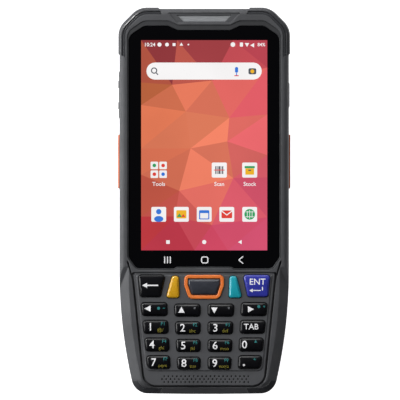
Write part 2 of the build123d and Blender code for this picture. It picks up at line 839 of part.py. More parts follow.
with BuildPart() as rear_housing:
    with BuildSketch(Plane.XY):
        add(body_profile())
    extrude(amount=split_z)
    fillet(rear_housing.faces().sort_by(Axis.Z)[0].edges(), rear_round)
    with BuildSketch(Plane.XY.offset(floor_t)):
        add(cavity_profile())
    extrude(amount=split_z, mode=Mode.SUBTRACT)
    # battery bay, the bed of its door and the boss of the door's screw
    with BuildSketch(Plane.XY.offset(floor_t)):
        with Locations((0, (bay_top_y + bay_bottom_y) / 2)):
            Rectangle(2 * (pack_half + pack_gap + bay_wall), bay_top_y - bay_bottom_y + 2 * bay_wall)
    extrude(amount=bay_roof_z + bay_wall - floor_t)
    with BuildSketch(Plane.XY.offset(floor_t)):
        bed_top = hinge_y + door_t / 2 + door_gap + bay_wall
        bed_bottom = door_bottom_y - door_gap - bay_wall
        with Locations((0, (bed_top + bed_bottom) / 2)):
            Rectangle(2 * (door_half + door_gap + bay_wall), bed_top - bed_bottom)
    extrude(amount=door_top_z + door_gap + door_bed - floor_t)
    with BuildSketch(Plane.XY.offset(floor_t)):
        with Locations((0, door_screw_y)):
            Circle(door_screw_r + door_boss_gap + bay_wall)
    extrude(amount=door_top_z + door_screw_reach + door_screw_tip_room + bay_wall - floor_t)
    with BuildSketch(Plane.XY):
        with Locations((0, (bay_top_y + bay_bottom_y) / 2)):
            Rectangle(2 * (pack_half + pack_gap), bay_top_y - bay_bottom_y)
    extrude(amount=bay_roof_z, mode=Mode.SUBTRACT)
    with BuildSketch(Plane.XY):
        bed_top = hinge_y + door_t / 2 + door_gap
        bed_bottom = door_bottom_y - door_gap
        with Locations((0, (bed_top + bed_bottom) / 2)):
            Rectangle(2 * (door_half + door_gap), bed_top - bed_bottom)
    extrude(amount=door_top_z + door_gap, mode=Mode.SUBTRACT)
    with BuildSketch(Plane.XY):
        with Locations((0, door_screw_y)):
            Circle(door_screw_r + door_boss_gap)
    extrude(amount=door_top_z + door_screw_reach + door_screw_tip_room, mode=Mode.SUBTRACT)
    with BuildSketch(Plane.YZ.offset(-door_half - hinge_pin_length - door_gap)):
        with Locations((hinge_y, hinge_z)):
            Circle(hinge_pin_r + hinge_pin_gap)
    extrude(amount=2 * (door_half + hinge_pin_length + door_gap), mode=Mode.SUBTRACT)
    # window for the battery contacts in the bay's upper wall
    with BuildSketch(Plane.XZ.offset(-bay_top_y - bay_wall - cut_over)):
        with Locations((0, bay_roof_z - pack_t / 2)):
            Rectangle(2 * (terminal_half + terminal_gap), terminal_height + 2 * terminal_gap)
    extrude(amount=bay_wall + 2 * cut_over, mode=Mode.SUBTRACT)
    # screw columns
    with BuildSketch(Plane.XY.offset(floor_t)):
        with Locations(*screw_points):
            Circle(rear_boss_r)
    extrude(amount=split_z - floor_t)
    with BuildSketch(Plane.XY):
        with Locations(*screw_points):
            Circle(screw_r + screw_gap)
    extrude(amount=split_z, mode=Mode.SUBTRACT)
    with BuildSketch(Plane.XY):
        with Locations(*screw_points):
            Circle(screw_head_r + screw_gap)
    extrude(amount=screw_sink + screw_head_t, mode=Mode.SUBTRACT)
    # blind bosses of the two threaded inserts for a strap or grip
    with BuildSketch(Plane.XY.offset(floor_t)):
        with Locations(*[(0, y) for y in insert_places]):
            Circle(insert_r + insert_boss_wall)
    extrude(amount=insert_sink + insert_length + insert_roof - floor_t)
    with BuildSketch(Plane.XY):
        with Locations(*[(0, y) for y in insert_places]):
            Circle(insert_r)
    extrude(amount=insert_length + insert_sink, mode=Mode.SUBTRACT)
    # scan window in the top end: bed and opening
    with BuildSketch(Plane.XZ.offset(-body_top_y + pane_t + pane_sink)):
        with Locations((0, pane_z)):
            Rectangle(2 * (pane_half + pane_gap), pane_height + 2 * pane_gap)
    extrude(amount=-2 * wall, mode=Mode.SUBTRACT)
    with BuildSketch(Plane.XZ.offset(-body_top_y + wall + cut_over)):
        with Locations((0, pane_z)):
            Rectangle(2 * (pane_half - pane_lip), pane_height - 2 * pane_lip)
    extrude(amount=-2 * wall, mode=Mode.SUBTRACT)
    # rear camera and flash: lens beds and sight holes
    with BuildSketch(Plane.XY):
        with Locations((camera_x, camera_y)):
            Circle(camera_hole_r)
        with Locations((flash_x, camera_y)):
            Circle(flash_hole_r)
    extrude(amount=floor_t, mode=Mode.SUBTRACT)
    with BuildSketch(Plane.XY):
        with Locations((camera_x, camera_y)):
            Circle(camera_r + lens_gap)
        with Locations((flash_x, camera_y)):
            Circle(flash_r + lens_gap)
    extrude(amount=lens_sink + lens_t, mode=Mode.SUBTRACT)
    # holes of the charging pads in the bottom end
    with BuildSketch(Plane.XZ.offset(half_length - end_wall - cut_over)):
        with Locations((0, pad_z)):
            with GridLocations(pad_pitch, 1, pad_count, 1):
                Circle(pad_r + pad_gap)
    extrude(amount=2 * end_wall, mode=Mode.SUBTRACT)
    # grip grooves in both sides
    with BuildSketch(Plane.XY.offset(side_groove_low_z)):
        with Locations((0, side_groove_y)):
            with GridLocations(1, side_groove_pitch, 1, side_groove_count):
                Rectangle(2 * half_length, side_groove_length)
        add(body_profile(side_groove_depth), mode=Mode.SUBTRACT)
    extrude(amount=side_groove_high_z - side_groove_low_z, mode=Mode.SUBTRACT)
    with BuildSketch(Plane.XY):
        add(corner_bands())
    extrude(amount=2 * rail_top_z, mode=Mode.SUBTRACT)
export(rear_housing.part, "rear_housing")

with BuildPart() as housing_gasket:
    with BuildSketch(Plane.XY.offset(split_z)):
        add(shell_profile(gasket_out * wall))
        add(shell_profile(gasket_in * wall), mode=Mode.SUBTRACT)
    extrude(amount=gasket_t)
export(housing_gasket.part, "housing_gasket")

# ================ corner bumpers ================
bumper_names = {
    "bumper_top_left": (-1, 1),
    "bumper_top_right": (1, 1),
    "bumper_bottom_left": (-1, -1),
    "bumper_bottom_right": (1, -1),
}
for name, (across, along) in bumper_names.items():
    proud = bumper_proud if along > 0 else 0.0
    with BuildPart() as bumper:
        with BuildSketch(Plane.XY.offset(bumper_low_z)):
            add(body_profile(-proud))
        extrude(amount=bumper_high_z - bumper_low_z)
        fillet(bumper.edges().group_by(Axis.Z)[0], bumper_low_round)
        fillet(bumper.edges().group_by(Axis.Z)[-1], bumper_round)
        with BuildSketch(Plane.XY):
            add(body_profile(bumper_depth))
        extrude(amount=2 * rail_top_z, mode=Mode.SUBTRACT)
        # groove along the front face
        with BuildSketch(Plane.XY.offset(bumper_high_z - rib_depth)):
            add(body_profile(rib_inset))
            add(body_profile(rib_inset + rib_width), mode=Mode.SUBTRACT)
        extrude(amount=rib_depth, mode=Mode.SUBTRACT)
        with BuildSketch(Plane.XY):
            add(corner_areas())
            with Locations((across * half_length, along * half_length)):
                Rectangle(2 * half_length, 2 * half_length, mode=Mode.INTERSECT)
        extrude(amount=2 * rail_top_z, mode=Mode.INTERSECT)
        add(grip_facet.part, mode=Mode.SUBTRACT)
    export(bumper.part, name)

# ================ display ================
with BuildPart() as touch_glass:
    with BuildSketch(Plane.XY.offset(glass_seat_z)):
        add(glass_profile())
    extrude(amount=glass_t)
    chamfer(touch_glass.faces().sort_by(Axis.Z)[-1].edges(), glass_bevel)
export(touch_glass.part, "touch_glass")

with BuildPart() as glass_trim:
    with BuildSketch(Plane.XY.offset(glass_seat_z)):
        add(trim_profile())
        add(glass_profile(glass_gap), mode=Mode.SUBTRACT)
    extrude(amount=trim_top_z - glass_seat_z)
    chamfer(glass_trim.faces().sort_by(Axis.Z)[-1].inner_wires()[0].edges(), trim_bevel)
export(glass_trim.part, "glass_trim")

with BuildPart() as display_panel:
    with BuildSketch(Plane.XY.offset(glass_seat_z - panel_t)):
        with Locations((0, active_mid_y - panel_tail / 2)):
            Rectangle(active_width + 2 * panel_margin, active_height + 2 * panel_margin + panel_tail)
    extrude(amount=panel_t)
export(display_panel.part, "display_panel")

# ================ keypad ================
with BuildPart() as keypad_deck:
    with BuildSketch(Plane.XY.offset(deck_seat_z)):
        add(deck_profile())
    extrude(amount=deck_t)
    chamfer(keypad_deck.faces().sort_by(Axis.Z)[-1].edges(), field_bevel)
    with BuildSketch(Plane.XY.offset(deck_seat_z + deck_t)) as field:
        add(deck_profile(-field_inset))
        with Locations((0, deck_bottom_y + field_foot - half_length / 2)):
            Rectangle(2 * half_length, half_length, mode=Mode.SUBTRACT)
        fillet(field.vertices().group_by(Axis.Y)[0], field_round)
    extrude(amount=field_rise)
    chamfer(keypad_deck.faces().sort_by(Axis.Z)[-1].edges(), field_bevel)
    for face in window_faces.values():
        with BuildSketch(Plane.XY.offset(deck_seat_z)):
            add(face)
        extrude(amount=deck_t + field_rise, mode=Mode.SUBTRACT)
    with BuildSketch(Plane.XY.offset(field_z - ring_sink)):
        add(ring_profile(ring_gap))
    extrude(amount=ring_sink, mode=Mode.SUBTRACT)
    # sound holes, small diamonds in three staggered rows
    with BuildSketch(Plane.XY.offset(deck_seat_z)):
        for row in (-1, 0, 1):
            shift = grille_pitch / 2 if row else 0
            with Locations((shift, grille_y + row * grille_row_pitch)):
                with GridLocations(grille_pitch, 1, grille_columns, 1):
                    RegularPolygon(grille_hole, 4)
    extrude(amount=deck_t + field_rise, mode=Mode.SUBTRACT)
export(keypad_deck.part, "keypad_deck")

with BuildPart() as scan_key_ring:
    with BuildSketch(Plane.XY.offset(field_z - ring_sink)):
        add(ring_profile())
        add(ring_profile(-ring_width), mode=Mode.SUBTRACT)
    extrude(amount=ring_sink + ring_rise)
    fillet(scan_key_ring.faces().sort_by(Axis.Z)[-1].edges(), ring_edge)
export(scan_key_ring.part, "scan_key_ring")

for name, face in key_faces.items():
    with BuildPart() as key:
        with BuildSketch(Plane.XY.offset(flange_low_z)):
            add(face)
        extrude(amount=key_top_z - flange_low_z)
        fillet(key.faces().sort_by(Axis.Z)[-1].edges(), key_edge)
        with BuildSketch(Plane.XY.offset(flange_low_z)):
            add(flange_faces[name])
        extrude(amount=flange_t)
    export(key.part, name)

with BuildPart() as keypad_mat:
    mat_z = keypad_board_z + keypad_board_t
    with BuildSketch(Plane.XY.offset(mat_z)):
        add(deck_profile(-mat_inset))
        with Locations((0, mat_bottom_y - half_length / 2)):
            Rectangle(2 * half_length, half_length, mode=Mode.SUBTRACT)
    extrude(amount=mat_t)
    with BuildSketch(Plane.XY.offset(mat_z + mat_t)):
        for face in key_faces.values():
            with Locations(face.face().center()):
                Circle(nub_r)
    extrude(amount=nub_rise)
export(keypad_mat.part, "keypad_mat")

with BuildPart() as keypad_board:
    with BuildSketch(Plane.XY.offset(keypad_board_z)):
        add(deck_profile(-mat_inset))
        with Locations((0, mat_bottom_y - half_length / 2)):
            Rectangle(2 * half_length, half_length, mode=Mode.SUBTRACT)
    extrude(amount=keypad_board_t)
export(keypad_board.part, "keypad_board")

# ================ side controls ================
def side_button(side, middle, length, proud, flange_gap):
    flange_x = side_inner_x - flange_gap - side_flange_t
    with BuildPart() as button:
        with BuildSketch(Plane.YZ.offset(side * flange_x)):
            with Locations((middle, side_z)):
                RectangleRounded(length, side_height, side_round)
        extrude(amount=side * (body_half_width + proud - flange_x))
        outer = button.faces().sort_by(Axis.X)[-1 if side > 0 else 0]
        fillet(outer.edges(), side_edge)
        with BuildSketch(Plane.YZ.offset(side * flange_x)):
            with Locations((middle, side_z)):
                Rectangle(length + 2 * side_flange_side, side_height + 2 * side_flange_end)
        extrude(amount=side * side_flange_t)
    return button.part


for side, hand in [(-1, "left"), (1, "right")]:
    trigger = side_button(side, scan_button_y, scan_button_length, scan_button_proud, side_flange_gap)
    export(trigger, f"scan_button_{hand}")
export(side_button(1, rocker_y, power_length, power_proud, side_flange_gap), "power_key")

with BuildPart() as volume_rocker:
    add(side_button(-1, rocker_y, rocker_length, rocker_proud, rocker_flange_gap))
    for shift in (-rocker_nub_offset, rocker_nub_offset):
        with BuildSketch(Plane.YZ.offset(-body_half_width)):
            with Locations((rocker_y + shift, side_z)):
                SlotOverall(rocker_nub_length, rocker_nub_width)
        extrude(amount=-rocker_proud - rocker_nub)
export(volume_rocker.part, "volume_rocker")

with BuildPart() as side_switches:
    flange_inner_x = side_inner_x - side_flange_t
    button_tip_x = flange_inner_x - side_flange_gap - switch_play
    rocker_tip_x = flange_inner_x - rocker_flange_gap - rocker_play
    for side, middle, length, steps, tip_x in (
        (-1, scan_button_y, scan_button_length, (-switch_offset, switch_offset), button_tip_x),
        (1, scan_button_y, scan_button_length, (-switch_offset, switch_offset), button_tip_x),
        (-1, rocker_y, rocker_length, (-switch_offset, switch_offset), rocker_tip_x),
        (1, rocker_y, power_length, (0,), button_tip_x),
    ):
        with BuildSketch(Plane.YZ.offset(side * switch_board_x)):
            with Locations((middle, side_z)):
                Rectangle(length - 2 * switch_board_end, side_height - 2 * switch_board_side)
        extrude(amount=side * switch_board_t)
        with BuildSketch(Plane.YZ.offset(side * (switch_board_x + switch_board_t))):
            with Locations(*[(middle + step, side_z) for step in steps]):
                Circle(switch_r)
        extrude(amount=side * (tip_x - switch_board_x - switch_board_t))
export(side_switches.part, "side_switches")

# ================ sound ================
with BuildPart() as earpiece_mesh:
    with BuildSketch(Plane.XY.offset(rail_top_z - frame_depth - mesh_sink - mesh_t)):
        with BuildLine():
            Polyline(
                (-slot_top_half, slot_top_y),
                (slot_top_half, slot_top_y),
                (slot_bottom_half, slot_bottom_y),
                (-slot_bottom_half, slot_bottom_y),
                close=True,
            )
        make_face()
        offset(amount=-mesh_gap)
    extrude(amount=mesh_t)
export(earpiece_mesh.part, "earpiece_mesh")

with BuildPart() as receiver:
    with BuildSketch(Plane.XY.offset(roof_under_z - sound_gap)):
        with Locations((0, (slot_top_y + slot_bottom_y) / 2)):
            RectangleRounded(2 * receiver_half, receiver_height, module_round)
    extrude(amount=-receiver_t)
export(receiver.part, "receiver")

with BuildPart() as loudspeaker:
    with BuildSketch(Plane.XY.offset(deck_seat_z - sound_gap)):
        with Locations((0, grille_y + speaker_shift)):
            RectangleRounded(2 * speaker_half, speaker_width, module_round)
    extrude(amount=-speaker_t)
export(loudspeaker.part, "loudspeaker")

# ================ chassis and boards ================
with BuildPart() as mid_chassis:
    with BuildSketch(Plane.XY.offset(chassis_z)):
        with Locations((0, (chassis_top_y + chassis_neck_y) / 2)):
            RectangleRounded(2 * chassis_half, chassis_top_y - chassis_neck_y, chassis_round)
        with Locations((0, (chassis_bottom_y + chassis_neck_y) / 2 + chassis_round / 2)):
            Rectangle(
                2 * (chassis_half - chassis_neck_inset), chassis_neck_y - chassis_bottom_y + chassis_round
            )
    extrude(amount=chassis_t)
    # arms and upstands that carry the side switches
    for middle, length in ((scan_button_y + scan_upstand_shift, scan_upstand), (rocker_y, rocker_upstand)):
        with BuildSketch(Plane.XY.offset(chassis_z)):
            with Locations((0, middle)):
                Rectangle(2 * switch_board_x, length)
        extrude(amount=chassis_t)
        with BuildSketch(Plane.XY.offset(chassis_z)):
            for side in (-1, 1):
                with Locations((side * (switch_board_x - upstand_t / 2), middle)):
                    Rectangle(upstand_t, length)
        extrude(amount=side_z + upstand_rise - chassis_z)
    # board standoffs and the taller posts of the keypad board
    with BuildSketch(Plane.XY.offset(chassis_z + chassis_t)):
        for y in standoff_y:
            with Locations(*mirrored_pair(board_half - standoff_inset, y)):
                Circle(post_r)
        with Locations(*mirrored_pair(board_half - foot_standoff_inset, foot_standoff_y)):
            Circle(post_r)
    extrude(amount=board_lift)
    with BuildSketch(Plane.XY.offset(chassis_z + chassis_t)):
        with Locations(*mirrored_pair(keypad_post_half, keypad_post_y)):
            Circle(post_r)
    extrude(amount=keypad_board_z - chassis_z - chassis_t)
export(mid_chassis.part, "mid_chassis")

with BuildPart() as main_board:
    with BuildSketch(Plane.XY.offset(board_z)):
        with Locations((0, (board_top_y + board_step_y) / 2)):
            RectangleRounded(2 * board_half, board_top_y - board_step_y, board_round)
        with Locations((0, (board_bottom_y + board_overlap_y) / 2)):
            Rectangle(2 * (board_half - board_narrow), board_overlap_y - board_bottom_y)
        with Locations(*mirrored_pair(keypad_post_half, keypad_post_y)):
            Circle(post_r + post_gap, mode=Mode.SUBTRACT)
    extrude(amount=board_t)
export(main_board.part, "main_board")

with BuildPart() as board_shields:
    for place, size in shield_places:
        with BuildSketch(Plane.XY.offset(board_z + board_t)):
            with Locations((place[0], board_top_y + place[1])):
                RectangleRounded(*size, module_round)
        extrude(amount=shield_t)
export(board_shields.part, "board_shields")

with BuildPart() as usb_socket:
    with BuildSketch(Plane.XZ.offset(-port_mouth_y)):
        with Locations((0, port_z)):
            RectangleRounded(2 * port_shell_half, port_shell_height, port_shell_round)
            RectangleRounded(
                2 * (port_shell_half - port_shell_t),
                port_shell_height - 2 * port_shell_t,
                port_shell_round - port_shell_t,
                mode=Mode.SUBTRACT,
            )
    extrude(amount=-port_shell_length)
    with BuildSketch(Plane.XZ.offset(-port_mouth_y - port_shell_length)):
        with Locations((0, port_z)):
            RectangleRounded(2 * port_shell_half, port_shell_height, port_shell_round)
    extrude(amount=port_back_t)
    with BuildSketch(Plane.XZ.offset(-port_mouth_y - port_shell_length)):
        with Locations((0, port_z)):
            Rectangle(2 * port_tongue_half, port_tongue_t)
    extrude(amount=port_shell_length - port_tongue_short)
    # solder feet down to the board
    with BuildSketch(Plane.XY.offset(board_z + board_t)):
        foot_y = port_mouth_y + port_shell_length - port_foot_length / 2
        with Locations(*mirrored_pair(port_feet / 2, foot_y)):
            Rectangle(port_foot_width, port_foot_length)
    extrude(amount=port_z - port_shell_height / 2 + port_shell_t - board_z - board_t)
export(usb_socket.part, "usb_socket")

with BuildPart() as charging_contacts:
    with BuildSketch(Plane.XZ.offset(half_length - end_wall)):
        with Locations((0, pad_z)):
            with GridLocations(pad_pitch, 1, pad_count, 1):
                Circle(pad_r)
    extrude(amount=end_wall - pad_sink)
export(charging_contacts.part, "charging_contacts")

# ================ scan end and rear ================
with BuildPart() as scan_window:
    with BuildSketch(Plane.XZ.offset(-body_top_y + pane_sink)):
        with Locations((0, pane_z)):
            Rectangle(2 * pane_half, pane_height)
    extrude(amount=pane_t)
export(scan_window.part, "scan_window")

with BuildPart() as scan_engine:
    engine_face_y = body_top_y - wall - engine_gap
    with BuildSketch(Plane.XZ.offset(-engine_face_y)):
        with Locations((0, floor_t + engine_height / 2)):
            Rectangle(2 * engine_half, engine_height)
    extrude(amount=engine_length)
    # two lens wells in the face
    with BuildSketch(Plane.XZ.offset(-engine_face_y)):
        with Locations(*mirrored_pair(engine_well_x, pane_z)):
            Circle(engine_well_r)
    extrude(amount=engine_well_depth, mode=Mode.SUBTRACT)
    with BuildSketch(Plane.XZ.offset(-engine_face_y)):
        with Locations((0, pane_z)):
            Rectangle(engine_sight, engine_sight)
    extrude(amount=engine_sight_depth, mode=Mode.SUBTRACT)
export(scan_engine.part, "scan_engine")

with BuildPart() as camera_lenses:
    with BuildSketch(Plane.XY.offset(lens_sink)):
        with Locations((camera_x, camera_y)):
            Circle(camera_r)
        with Locations((flash_x, camera_y)):
            Circle(flash_r)
    extrude(amount=lens_t)
export(camera_lenses.part, "camera_lenses")

with BuildPart() as camera_module:
    with BuildSketch(Plane.XY.offset(floor_t)):
        with Locations((camera_x, camera_y)):
            RectangleRounded(2 * camera_half, 2 * camera_half, module_round)
    extrude(amount=camera_height)
    with BuildSketch(Plane.XY.offset(floor_t)):
        with Locations((camera_x, camera_y)):
            Circle(camera_hole_r - camera_barrel_gap)
    extrude(amount=-floor_t + lens_sink + lens_t + lens_gap)
export(camera_module.part, "camera_module")

with BuildPart() as vibration_motor:
    with BuildSketch(Plane.XY.offset(floor_t)):
        with Locations((motor_x, motor_y)):
            Circle(motor_r)
    extrude(amount=motor_t)
export(vibration_motor.part, "vibration_motor")

# ================ battery bay ================
with BuildPart() as battery_door:
    with BuildSketch(Plane.XY.offset(door_low_z)):
        with Locations((0, (hinge_y + door_bottom_y) / 2)):
            Rectangle(2 * door_half, hinge_y - door_bottom_y)
    extrude(amount=door_t)
    with BuildSketch(Plane.YZ.offset(-door_half)):
        with Locations((hinge_y, hinge_z)):
            Circle(door_t / 2)
    extrude(amount=2 * door_half)
    with BuildSketch(Plane.YZ.offset(-door_half - hinge_pin_length)):
        with Locations((hinge_y, hinge_z)):
            Circle(hinge_pin_r)
    extrude(amount=2 * (door_half + hinge_pin_length))
    with BuildSketch(Plane.XY.offset(door_low_z)):
        with Locations((0, door_screw_y)):
            Circle(door_screw_r + door_screw_gap)
    extrude(amount=door_t, mode=Mode.SUBTRACT)
    with BuildSketch(Plane.XY.offset(door_low_z)):
        with Locations((0, door_screw_y)):
            Circle(door_screw_head_r + door_screw_gap)
    extrude(amount=door_screw_head_t + door_screw_seat, mode=Mode.SUBTRACT)
    with BuildSketch(Plane.XY.offset(door_low_z)):
        with Locations((0, door_groove_y)):
            with GridLocations(1, door_groove_pitch, 1, door_groove_count):
                SlotOverall(2 * door_groove_half, door_groove_width)
    extrude(amount=door_groove_depth, mode=Mode.SUBTRACT)
export(battery_door.part, "battery_door")

with BuildPart() as door_screw:
    with BuildSketch(Plane.XY.offset(door_low_z)):
        with Locations((0, door_screw_y)):
            Circle(door_screw_head_r)
    extrude(amount=door_screw_head_t)
    with BuildSketch(Plane.XY.offset(door_low_z)):
        with Locations((0, door_screw_y)):
            Circle(door_screw_r)
    extrude(amount=door_t + door_screw_reach)
    with BuildSketch(Plane.XY.offset(door_low_z)):
        with Locations((0, door_screw_y)):
            Rectangle(2 * door_screw_head_r, coin_slot)
    extrude(amount=door_screw_head_t / 2, mode=Mode.SUBTRACT)
export(door_screw.part, "door_screw")

with BuildPart() as battery_pack:
    with BuildSketch(Plane.XY.offset(door_top_z + pack_gap)):
        with Locations((0, pack_top_y - pack_length / 2)):
            RectangleRounded(2 * pack_half, pack_length, pack_round)
    extrude(amount=pack_t)
export(battery_pack.part, "battery_pack")

with BuildPart() as battery_contacts:
    with BuildSketch(Plane.XZ.offset(-bay_top_y - terminal_gap)):
        with Locations((0, bay_roof_z - pack_t / 2)):
            Rectangle(2 * terminal_half, terminal_height)
    extrude(amount=-terminal_depth)
export(battery_contacts.part, "battery_contacts")

# ================ port cover ================
with BuildPart() as usb_cover:
    barrel_x = -cover_half + cover_t / 2
    with BuildSketch(Plane.XY.offset(port_z - cover_height / 2)):
        with Locations(((barrel_x + cover_half) / 2, cover_face_y + cover_t / 2)):
            Rectangle(cover_half - barrel_x, cover_t)
        with Locations((barrel_x, cover_face_y + cover_t / 2)):
            Circle(cover_t / 2)
    extrude(amount=cover_height)
    with BuildSketch(Plane.XZ.offset(-cover_face_y - cover_t)):
        with Locations((0, port_z)):
            RectangleRounded(
                2 * (port_shell_half + port_hole_gap - cover_plug_gap),
                port_shell_height + 2 * (port_hole_gap - cover_plug_gap),
                port_shell_round,
            )
    extrude(amount=-cover_plug_depth)
export(usb_cover.part, "usb_cover")

# ================ fasteners ================
with BuildPart() as housing_screws:
    with BuildSketch(Plane.XY.offset(screw_sink)):
        with Locations(*screw_points):
            Circle(screw_head_r)
    extrude(amount=screw_head_t)
    with BuildSketch(Plane.XY.offset(screw_sink)):
        with Locations(*screw_points):
            Circle(screw_r)
    extrude(amount=screw_top_z - screw_sink)
    with BuildSketch(Plane.XY.offset(screw_sink)):
        with Locations(*screw_points):
            RegularPolygon(screw_socket_r, 6)
    extrude(amount=screw_head_t / 2, mode=Mode.SUBTRACT)
export(housing_screws.part, "housing_screws")

with BuildPart() as grip_inserts:
    with BuildSketch(Plane.XY.offset(insert_sink)):
        with Locations(*[(0, y) for y in insert_places]):
            Circle(insert_r)
            Circle(insert_bore_r, mode=Mode.SUBTRACT)
    extrude(amount=insert_length)
export(grip_inserts.part, "grip_inserts")
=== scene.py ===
import json
import math
import random

import bmesh
import bpy
from mathutils import Matrix, Vector
from mathutils.bvhtree import BVHTree


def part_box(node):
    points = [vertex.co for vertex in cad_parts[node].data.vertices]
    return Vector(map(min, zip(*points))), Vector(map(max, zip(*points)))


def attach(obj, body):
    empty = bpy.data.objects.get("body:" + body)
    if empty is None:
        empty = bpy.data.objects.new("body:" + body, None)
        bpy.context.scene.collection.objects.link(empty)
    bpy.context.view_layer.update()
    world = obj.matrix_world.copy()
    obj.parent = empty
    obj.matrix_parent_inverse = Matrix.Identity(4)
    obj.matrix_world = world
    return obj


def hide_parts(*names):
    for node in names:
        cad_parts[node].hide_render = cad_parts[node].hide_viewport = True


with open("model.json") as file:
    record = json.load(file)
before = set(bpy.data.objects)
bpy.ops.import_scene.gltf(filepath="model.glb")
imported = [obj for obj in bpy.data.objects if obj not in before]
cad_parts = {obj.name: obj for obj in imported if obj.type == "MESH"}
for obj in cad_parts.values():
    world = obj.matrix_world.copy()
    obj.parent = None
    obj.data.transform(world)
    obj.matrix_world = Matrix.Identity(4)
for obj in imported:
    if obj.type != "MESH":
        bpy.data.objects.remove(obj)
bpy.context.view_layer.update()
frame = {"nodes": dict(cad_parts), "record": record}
nodes = frame["nodes"]
mm = 0.001
near = 0.002 * mm  # points closer than this are the same
bodies = frame["record"]["behaviour"]["bodies"]
bodyOf = {node: body for body, members in bodies.items() for node in members}
litArea = {"half": (25.92, 43.2), "middle": 22.8}  # of the display, in millimetres
print("frame loaded:", len(nodes), "nodes")


def colour(code):
    channels = [int(code[i : i + 2], 16) / 255 for i in (1, 3, 5)]
    return [c / 12.92 if c <= 0.04045 else ((c + 0.055) / 1.055) ** 2.4 for c in channels] + [1.0]


def addNode(tree, kind, inputs=None, **settings):
    node = tree.nodes.new(kind)
    for name, value in settings.items():
        setattr(node, name, value)
    for name, value in (inputs or {}).items():
        if isinstance(value, bpy.types.NodeSocket):
            tree.links.new(value, node.inputs[name])
        else:
            node.inputs[name].default_value = value
    return node


def emptyMaterial(name):
    material = bpy.data.materials.new(name)
    material.use_nodes = True
    material.node_tree.nodes.clear()
    return material, material.node_tree


# What a finish has unless its own entry says otherwise. Grain, cloud and edge are in millimetres.
plainFinish = {
    "stretch": (1, 1, 1), "grainDetail": 2.0, "grainRough": 0.6,
    "cloud": 14, "cloudDetail": 5.0, "cloudRough": 0.62, "patch": (0.35, 0.62), "sheen": (0.3, 0.7),
    "edge": 0.25, "edgeTurn": (0.995, 0.86), "edgeSamples": 4, "wear": 0.3,
    "spread": 0.05, "relief": 0.35, "reliefDepth": 0.4,
    "ior": 1.5, "metallic": 0.0, "specular": 0.5, "coat": 0.0, "coatRough": 0.08,
}


# Any moulded or painted solid: fine grain, cloudy handling marks and edges rubbed paler.
def solidFinish(name, own):
    look = {**plainFinish, **own}
    material, tree = emptyMaterial(name)
    place = addNode(tree, "ShaderNodeTexCoord").outputs["Object"]
    stretched = addNode(tree, "ShaderNodeMapping", {"Vector": place, "Scale": look["stretch"]})
    grain = addNode(tree, "ShaderNodeTexNoise", {
        "Vector": stretched.outputs["Vector"], "Scale": 1 / (look["grain"] * mm),
        "Detail": look["grainDetail"], "Roughness": look["grainRough"]})
    cloud = addNode(tree, "ShaderNodeTexNoise", {
        "Vector": place, "Scale": 1 / (look["cloud"] * mm),
        "Detail": look["cloudDetail"], "Roughness": look["cloudRough"]})
    eased = addNode(tree, "ShaderNodeBevel", {"Radius": look["edge"] * mm}, samples=look["edgeSamples"])
    straight = addNode(tree, "ShaderNodeNewGeometry").outputs["Normal"]
    turn = addNode(tree, "ShaderNodeVectorMath", {0: eased.outputs["Normal"], 1: straight},
                   operation="DOT_PRODUCT")
    rubbed = addNode(tree, "ShaderNodeMapRange", {
        "Value": turn.outputs["Value"], "From Min": look["edgeTurn"][0], "From Max": look["edgeTurn"][1],
        "To Max": look["wear"]})
    patchy = addNode(tree, "ShaderNodeMapRange", {
        "Value": cloud.outputs["Fac"], "From Min": look["patch"][0], "From Max": look["patch"][1]})
    wear = addNode(tree, "ShaderNodeMath", {0: rubbed.outputs["Result"], 1: patchy.outputs["Result"]},
                   operation="MULTIPLY")
    tone = addNode(tree, "ShaderNodeMix", {
        0: patchy.outputs["Result"], 6: colour(look["base"]), 7: colour(look["faded"])}, data_type="RGBA")
    skin = addNode(tree, "ShaderNodeMix", {
        0: wear.outputs["Value"], 6: tone.outputs[2], 7: colour(look["worn"])}, data_type="RGBA")
    rough = addNode(tree, "ShaderNodeMapRange", {
        "Value": cloud.outputs["Fac"], "From Min": look["sheen"][0], "From Max": look["sheen"][1],
        "To Min": look["rough"] + look["spread"], "To Max": look["rough"] - look["spread"]})
    relief = addNode(tree, "ShaderNodeBump", {
        "Height": grain.outputs["Fac"], "Normal": eased.outputs["Normal"],
        "Strength": look["relief"], "Distance": look["grain"] * mm * look["reliefDepth"]})
    shader = addNode(tree, "ShaderNodeBsdfPrincipled", {
        "Base Color": skin.outputs[2], "Roughness": rough.outputs["Result"],
        "Normal": relief.outputs["Normal"], "IOR": look["ior"],
        "Metallic": look["metallic"], "Specular IOR Level": look["specular"],
        "Coat Weight": look["coat"], "Coat Roughness": look["coatRough"]})
    addNode(tree, "ShaderNodeOutputMaterial", {"Surface": shader.outputs["BSDF"]})
    return material


